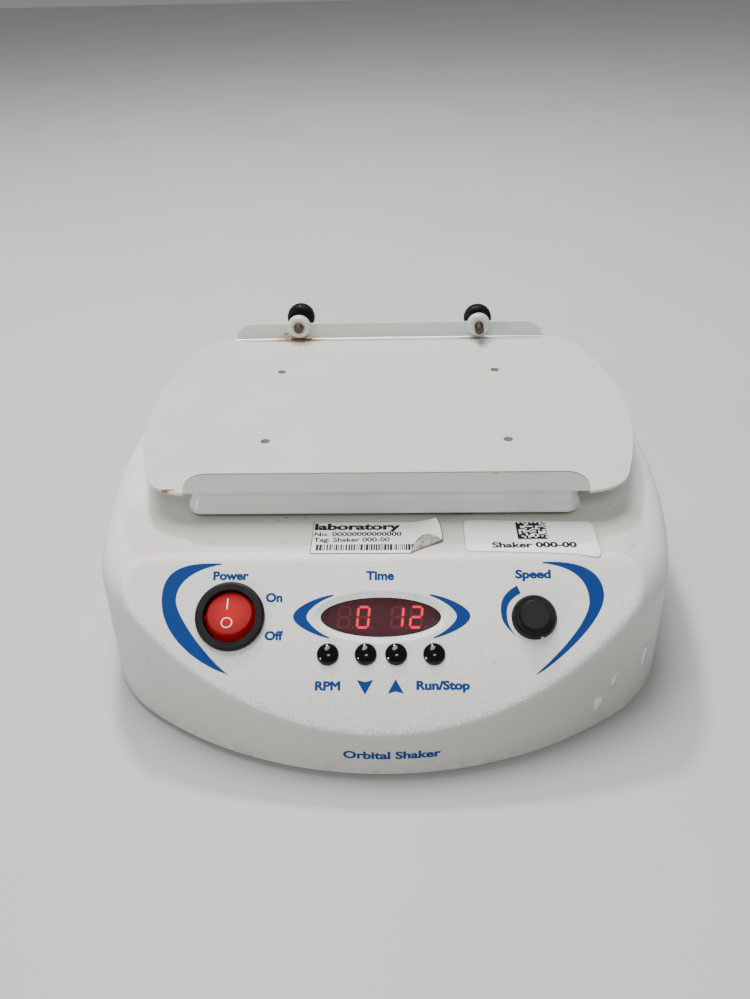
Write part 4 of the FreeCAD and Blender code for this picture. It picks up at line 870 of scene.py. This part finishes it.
TAG = (35.0, -76.0, 90.0, -53.0)          # the neat sticker on the right: x0, y0, x1, y1
TAG_CORNER = 2.2
TAG_SLOPE = 0.042                         # it was stuck on a little askew
OLD = (-29.4, -77.1, 25.4, -54.5)         # the worn sticker on the left
FOLD_LOW = (12.2, -77.1)                  # its lower right corner is folded over along this line
FOLD_HIGH = (25.4, -69.4)
FOLD_TIP = (17.4, -66.6)
STICKER_GRID = (44, 20)                   # steps along and across each sticker
MATRIX_CORNER = (57.2, -67.9)
MATRIX_CELL = 0.91
MATRIX_LAST = 13                          # the last of its rows and columns, counted from 0
BARS = (-27.5, -75.6, 13.6, -71.2)        # the bars' left, low, right and high edge


def tag_shape(x, y):
    """Pulls a rectangle's points in so that its corners are round, and sets it askew."""
    x0, y0, x1, y1 = TAG
    cx = min(max(x, x0 + TAG_CORNER), x1 - TAG_CORNER)
    cy = min(max(y, y0 + TAG_CORNER), y1 - TAG_CORNER)
    off = Vector((x - cx, y - cy))
    if abs(off.x) > 1e-6 and abs(off.y) > 1e-6:
        longest = max(abs(off.x), abs(off.y))
        off = off * (longest / off.length)
    droop = 1.5 * max(0.0, (x - 68.0) / 22.0) ** 2 * (y1 - y) / (y1 - y0)
    return cx + off.x, cy + off.y - droop - TAG_SLOPE * (x - x0)


def tag_lift(x, y):
    return 0.25 * max(0.0, (x - 78.0) / 12.0) ** 2


def old_shape(x, y):
    """Cuts the lower right corner off along the fold, and draws the lifted corner in."""
    x0, y0, x1, y1 = OLD
    share = (y - FOLD_LOW[1]) / (FOLD_HIGH[1] - FOLD_LOW[1])
    line = FOLD_LOW[0] + share * (FOLD_HIGH[0] - FOLD_LOW[0])
    up = max(0.0, (y - y0) / (y1 - y0))
    drawn = x - 2.2 * up ** 4 * max(0.0, (x - 12.0) / (x1 - 12.0)) ** 2
    return (min(drawn, line), y) if share < 1 else (drawn, y)


def old_lift(x, y):
    """The right end has come unstuck: its upper corner stands up."""
    x0, y0, x1, y1 = OLD
    away = max(0.0, (x - 11.0) / (x1 - 11.0))
    up = max(0.0, (y - y0) / (y1 - y0))
    return away ** 2 * (0.5 + 2.7 * up ** 2) + 0.10


def make_folded_corner(material):
    """The sticker's lower right corner, folded over so that its back shows."""
    low, high, tip = Vector(FOLD_LOW), Vector(FOLD_HIGH), Vector(FOLD_TIP)
    crown = 2 * tip - (low + high) / 2
    columns, rows = 20, 10
    vertices = []
    faces = []
    for j in range(rows + 1):
        t = j / rows
        for i in range(columns + 1):
            s = i / columns
            fold = low.lerp(high, s)
            rim = low * (1 - s) ** 2 + crown * 2 * s * (1 - s) + high * s * s
            spot = fold.lerp(rim, t)
            arch = math.sin(math.pi * s)
            z = old_lift(fold.x, fold.y) + 0.25 + arch * (1.3 * math.sin(math.pi * t * 0.72) + 0.25 * t)
            for extra in (0.0, 0.12):
                vertices.append(Vector((spot.x * MM, spot.y * MM, CASING_TOP + (z + extra) * MM)))
    span = 2 * (columns + 1)
    for j in range(rows):
        for i in range(columns):
            a = j * span + 2 * i
            b, c, d = a + 2, a + 2 + span, a + span
            faces += [(a + 1, b + 1, c + 1, d + 1), (a, d, c, b)]
    for i in range(columns):
        for a in (2 * i, rows * span + 2 * i):
            faces.append((a, a + 2, a + 3, a + 1))
    for j in range(rows):
        for a in (j * span, j * span + 2 * columns):
            faces.append((a, a + 1, a + span + 1, a + span))
    add_piece("sticker_folded_corner", vertices, faces, material, "base", smooth=True)


def raised(wrap, shape_lift):
    """Wraps marks onto a sticker instead of onto the casing below it."""
    def place(x, y, height):
        return wrap(x, y, height + 0.15 + shape_lift(x, y))
    return place


def make_stickers():
    white = paper("sticker_white", srgb(255, 255, 255), srgb(250, 250, 249))
    cream = paper("sticker_worn", srgb(253, 253, 252), srgb(236, 235, 231))
    # painted shadow colours for the dark lines along the stickers' edges
    grey_painted_shadow = paper("sticker_edge_shadow", srgb(158, 152, 142), srgb(120, 112, 100))
    brown_painted_shadow = paper("worn_sticker_edge_shadow", srgb(84, 78, 70), srgb(112, 96, 76))
    back = worn_back()
    black = ink("sticker_ink", srgb(14, 14, 16), srgb(62, 62, 64), 0.5)
    top = Wrap("housing_shell", on_top, (0, 0, -1))
    sheet_piece("sticker_right", tag_shape, *STICKER_GRID, TAG, tag_lift, white)
    # a painted shadow line along each sticker's edge: a darker sheet below it, a little wider
    sticker_shadow_line("sticker_right_edge", tag_shape, *STICKER_GRID, TAG, tag_lift, grey_painted_shadow, 0.30)
    sheet_piece("sticker_left", old_shape, *STICKER_GRID, OLD, old_lift, cream)
    sticker_shadow_line("sticker_left_edge", old_shape, *STICKER_GRID, OLD, old_lift, brown_painted_shadow, 0.36)
    make_folded_corner(back)
    draw = random.Random(7)
    marks = Film(raised(top, tag_lift), 0.0, 0.03)
    last, cell = MATRIX_LAST, MATRIX_CELL
    for row in range(last + 1):
        for column in range(last + 1):
            edge = column == 0 or row == 0
            timing = (row == last and column % 2 == 0) or (column == last and row % 2 == 0)
            inner = 0 < column < last and 0 < row < last and draw.random() < 0.5
            if edge or timing or inner:
                x = MATRIX_CORNER[0] + column * cell
                y = MATRIX_CORNER[1] + row * cell
                marks.rectangle(x, y, x + cell, y + cell)
    marks.text("Shaker 000-00", 46.0, -73.9, 81.1, -70.1, weight=0.22)
    marks.finish("sticker_right_marks", black, "base")
    marks = Film(raised(top, old_lift), 0.0, 0.03)
    x, low, end, high = BARS
    while x < end:
        width = draw.choice((0.42, 0.42, 0.75, 1.1))
        marks.rectangle(x, low, x + width, high)
        x += width + draw.choice((0.28, 0.28, 0.50))
    marks.text("laboratory", -29.0, -60.2, 7.9, -55.4, weight=0.30)
    marks.text("No. 00000000000000", -28.8, -65.0, 8.3, -61.9, weight=0.12)
    marks.text("Tag: Shaker 000-00", -28.8, -69.2, 3.4, -66.1, weight=0.12)
    marks.finish("sticker_left_marks", black, "base")


# ---- tape residue on the right of the casing ----

def make_residue():
    """Torn scraps of clear tape left on the right-hand wall."""
    film_gloss = Finish("tape_residue", srgb(255, 255, 254), 0.18, Alpha=0.72, Coat_Weight=0.5)
    film_gloss.relief(film_gloss.noise(1.3, 4, 0.7, warp=1.0), 0.14)
    film_gloss.paint(film_gloss.between(film_gloss.noise(2.2, 3), 0.5, 0.8), srgb(228, 227, 220))
    material = film_gloss.done()
    draw = random.Random(21)
    tree = surface_tree("housing_shell")
    film_vertices, film_faces = [], []
    for x, y, z, wide, tall in RESIDUE:
        aim = Vector((0.72, -0.69, 0)).normalized()
        side = Vector((-aim.y, aim.x, 0))
        centre = Vector((x, y, z)) * MM
        ring = []
        for i in range(18):
            a = 2 * math.pi * i / 18
            ragged = 0.62 + 0.5 * draw.random()
            out = side * wide * math.cos(a) + Vector((0, 0, 1)) * tall * math.sin(a)
            start = centre + out * ragged * MM
            hit, normal, _, _ = tree.ray_cast(start + aim * 0.06, -aim)
            if hit is not None:
                ring.append((hit, normal))
        hit, normal, _, _ = tree.ray_cast(centre + aim * 0.06, -aim)
        base = len(film_vertices)
        for level in (0.02, 0.14):
            film_vertices += [h + n * level * MM for h, n in ring]
            film_vertices.append(hit + normal * level * 1.5 * MM)
        count = len(ring)
        for i in range(count):
            j = (i + 1) % count
            film_faces.append((base + i, base + count, base + j))
            film_faces.append((base + count + 1 + i, base + count + 1 + j, base + 2 * count + 1))
            film_faces.append((base + i, base + j, base + count + 1 + j, base + count + 1 + i))
    add_piece("tape_residue", film_vertices, film_faces, material, "base", smooth=True)


RESIDUE = (
    (90.0, -106.6, 15.8, 3.6, 4.6),
    (96.0, -102.3, 24.5, 2.2, 5.0),
    (111.5, -87.5, 24.0, 2.4, 8.0),
)


# ---- stage, light and camera ----
CAMERA_PLACE = (0.00958, -0.40628, 0.30602)
CAMERA_PITCH = math.radians(32.258)      # downwards
CAMERA_YAW = math.radians(2.034)         # to the left of +Y
CAMERA_ROLL = math.radians(-1.5)
FOCAL_SHARE = 0.975936                   # focal length as a share of the picture's height


def make_camera():
    data = bpy.data.cameras.new("camera")
    data.sensor_fit = "VERTICAL"
    data.sensor_height = 36.0
    data.lens = FOCAL_SHARE * data.sensor_height
    data.clip_start = 0.01
    camera = bpy.data.objects.new("camera", data)
    turn = Matrix.Rotation(CAMERA_YAW, 4, "Z") @ Matrix.Rotation(math.pi / 2 - CAMERA_PITCH, 4, "X")
    camera.matrix_world = Matrix.Translation(CAMERA_PLACE) @ turn @ Matrix.Rotation(CAMERA_ROLL, 4, "Z")
    bpy.context.scene.collection.objects.link(camera)
    bpy.context.scene.camera = camera


def add_softbox(name, place, aim, size, power, color=(1, 1, 1)):
    data = bpy.data.lights.new(name, "AREA")
    data.shape = "ELLIPSE"
    data.size, data.size_y = size
    data.energy = power
    data.color = color
    light = bpy.data.objects.new(name, data)
    way = Vector(aim) - Vector(place)
    light.matrix_world = Matrix.Translation(place) @ way.to_track_quat("-Z", "Y").to_matrix().to_4x4()
    bpy.context.scene.collection.objects.link(light)


def make_light():
    aim = (0, 0.02, 0.06)
    add_softbox("ceiling_light", (-0.2, 0.16, 1.5), aim, (1.0, 0.7), 19.5, (1.0, 0.995, 0.98))
    add_softbox("rear_light", (-0.25, 0.70, 1.32), aim, (0.17, 0.17), 13.0, (1.0, 0.995, 0.98))
    add_softbox("front_light", (0.1, -1.2, 1.25), aim, (0.6, 0.4), 6.4)
    add_softbox("left_light", (-1.12, -0.85, 0.24), aim, (0.18, 0.18), 4.8, (0.97, 0.98, 1.0))
    world = bpy.data.worlds.new("studio")
    world.use_nodes = True
    backdrop = world.node_tree.nodes["Background"]
    backdrop.inputs["Color"].default_value = (0.86, 0.88, 0.90, 1)
    backdrop.inputs["Strength"].default_value = 0.28
    bpy.context.scene.world = world


def make_floor():
    made = Finish("floor", srgb(204, 204, 201), 0.6)
    made.paint(made.times(made.between(made.noise(220, 2), 0.35, 0.75), 0.4), srgb(196, 196, 193))
    size = 3.0
    mesh = bpy.data.meshes.new("floor")
    corners = [(-size, -size, 0), (size, -size, 0), (size, size, 0), (-size, size, 0)]
    mesh.from_pydata(corners, [], [(0, 1, 2, 3)])
    mesh.materials.append(made.done())
    floor = bpy.data.objects.new("floor", mesh)
    bpy.context.scene.collection.objects.link(floor)


dress_nodes(make_materials())
BLUE = ink("print_blue", srgb(0, 54, 124), srgb(0, 66, 138), 0.6)
make_face_print(BLUE)
make_front_words(BLUE)
make_digits()
make_rocker_symbols()
make_stickers()
make_residue()
make_floor()
make_light()
make_camera()
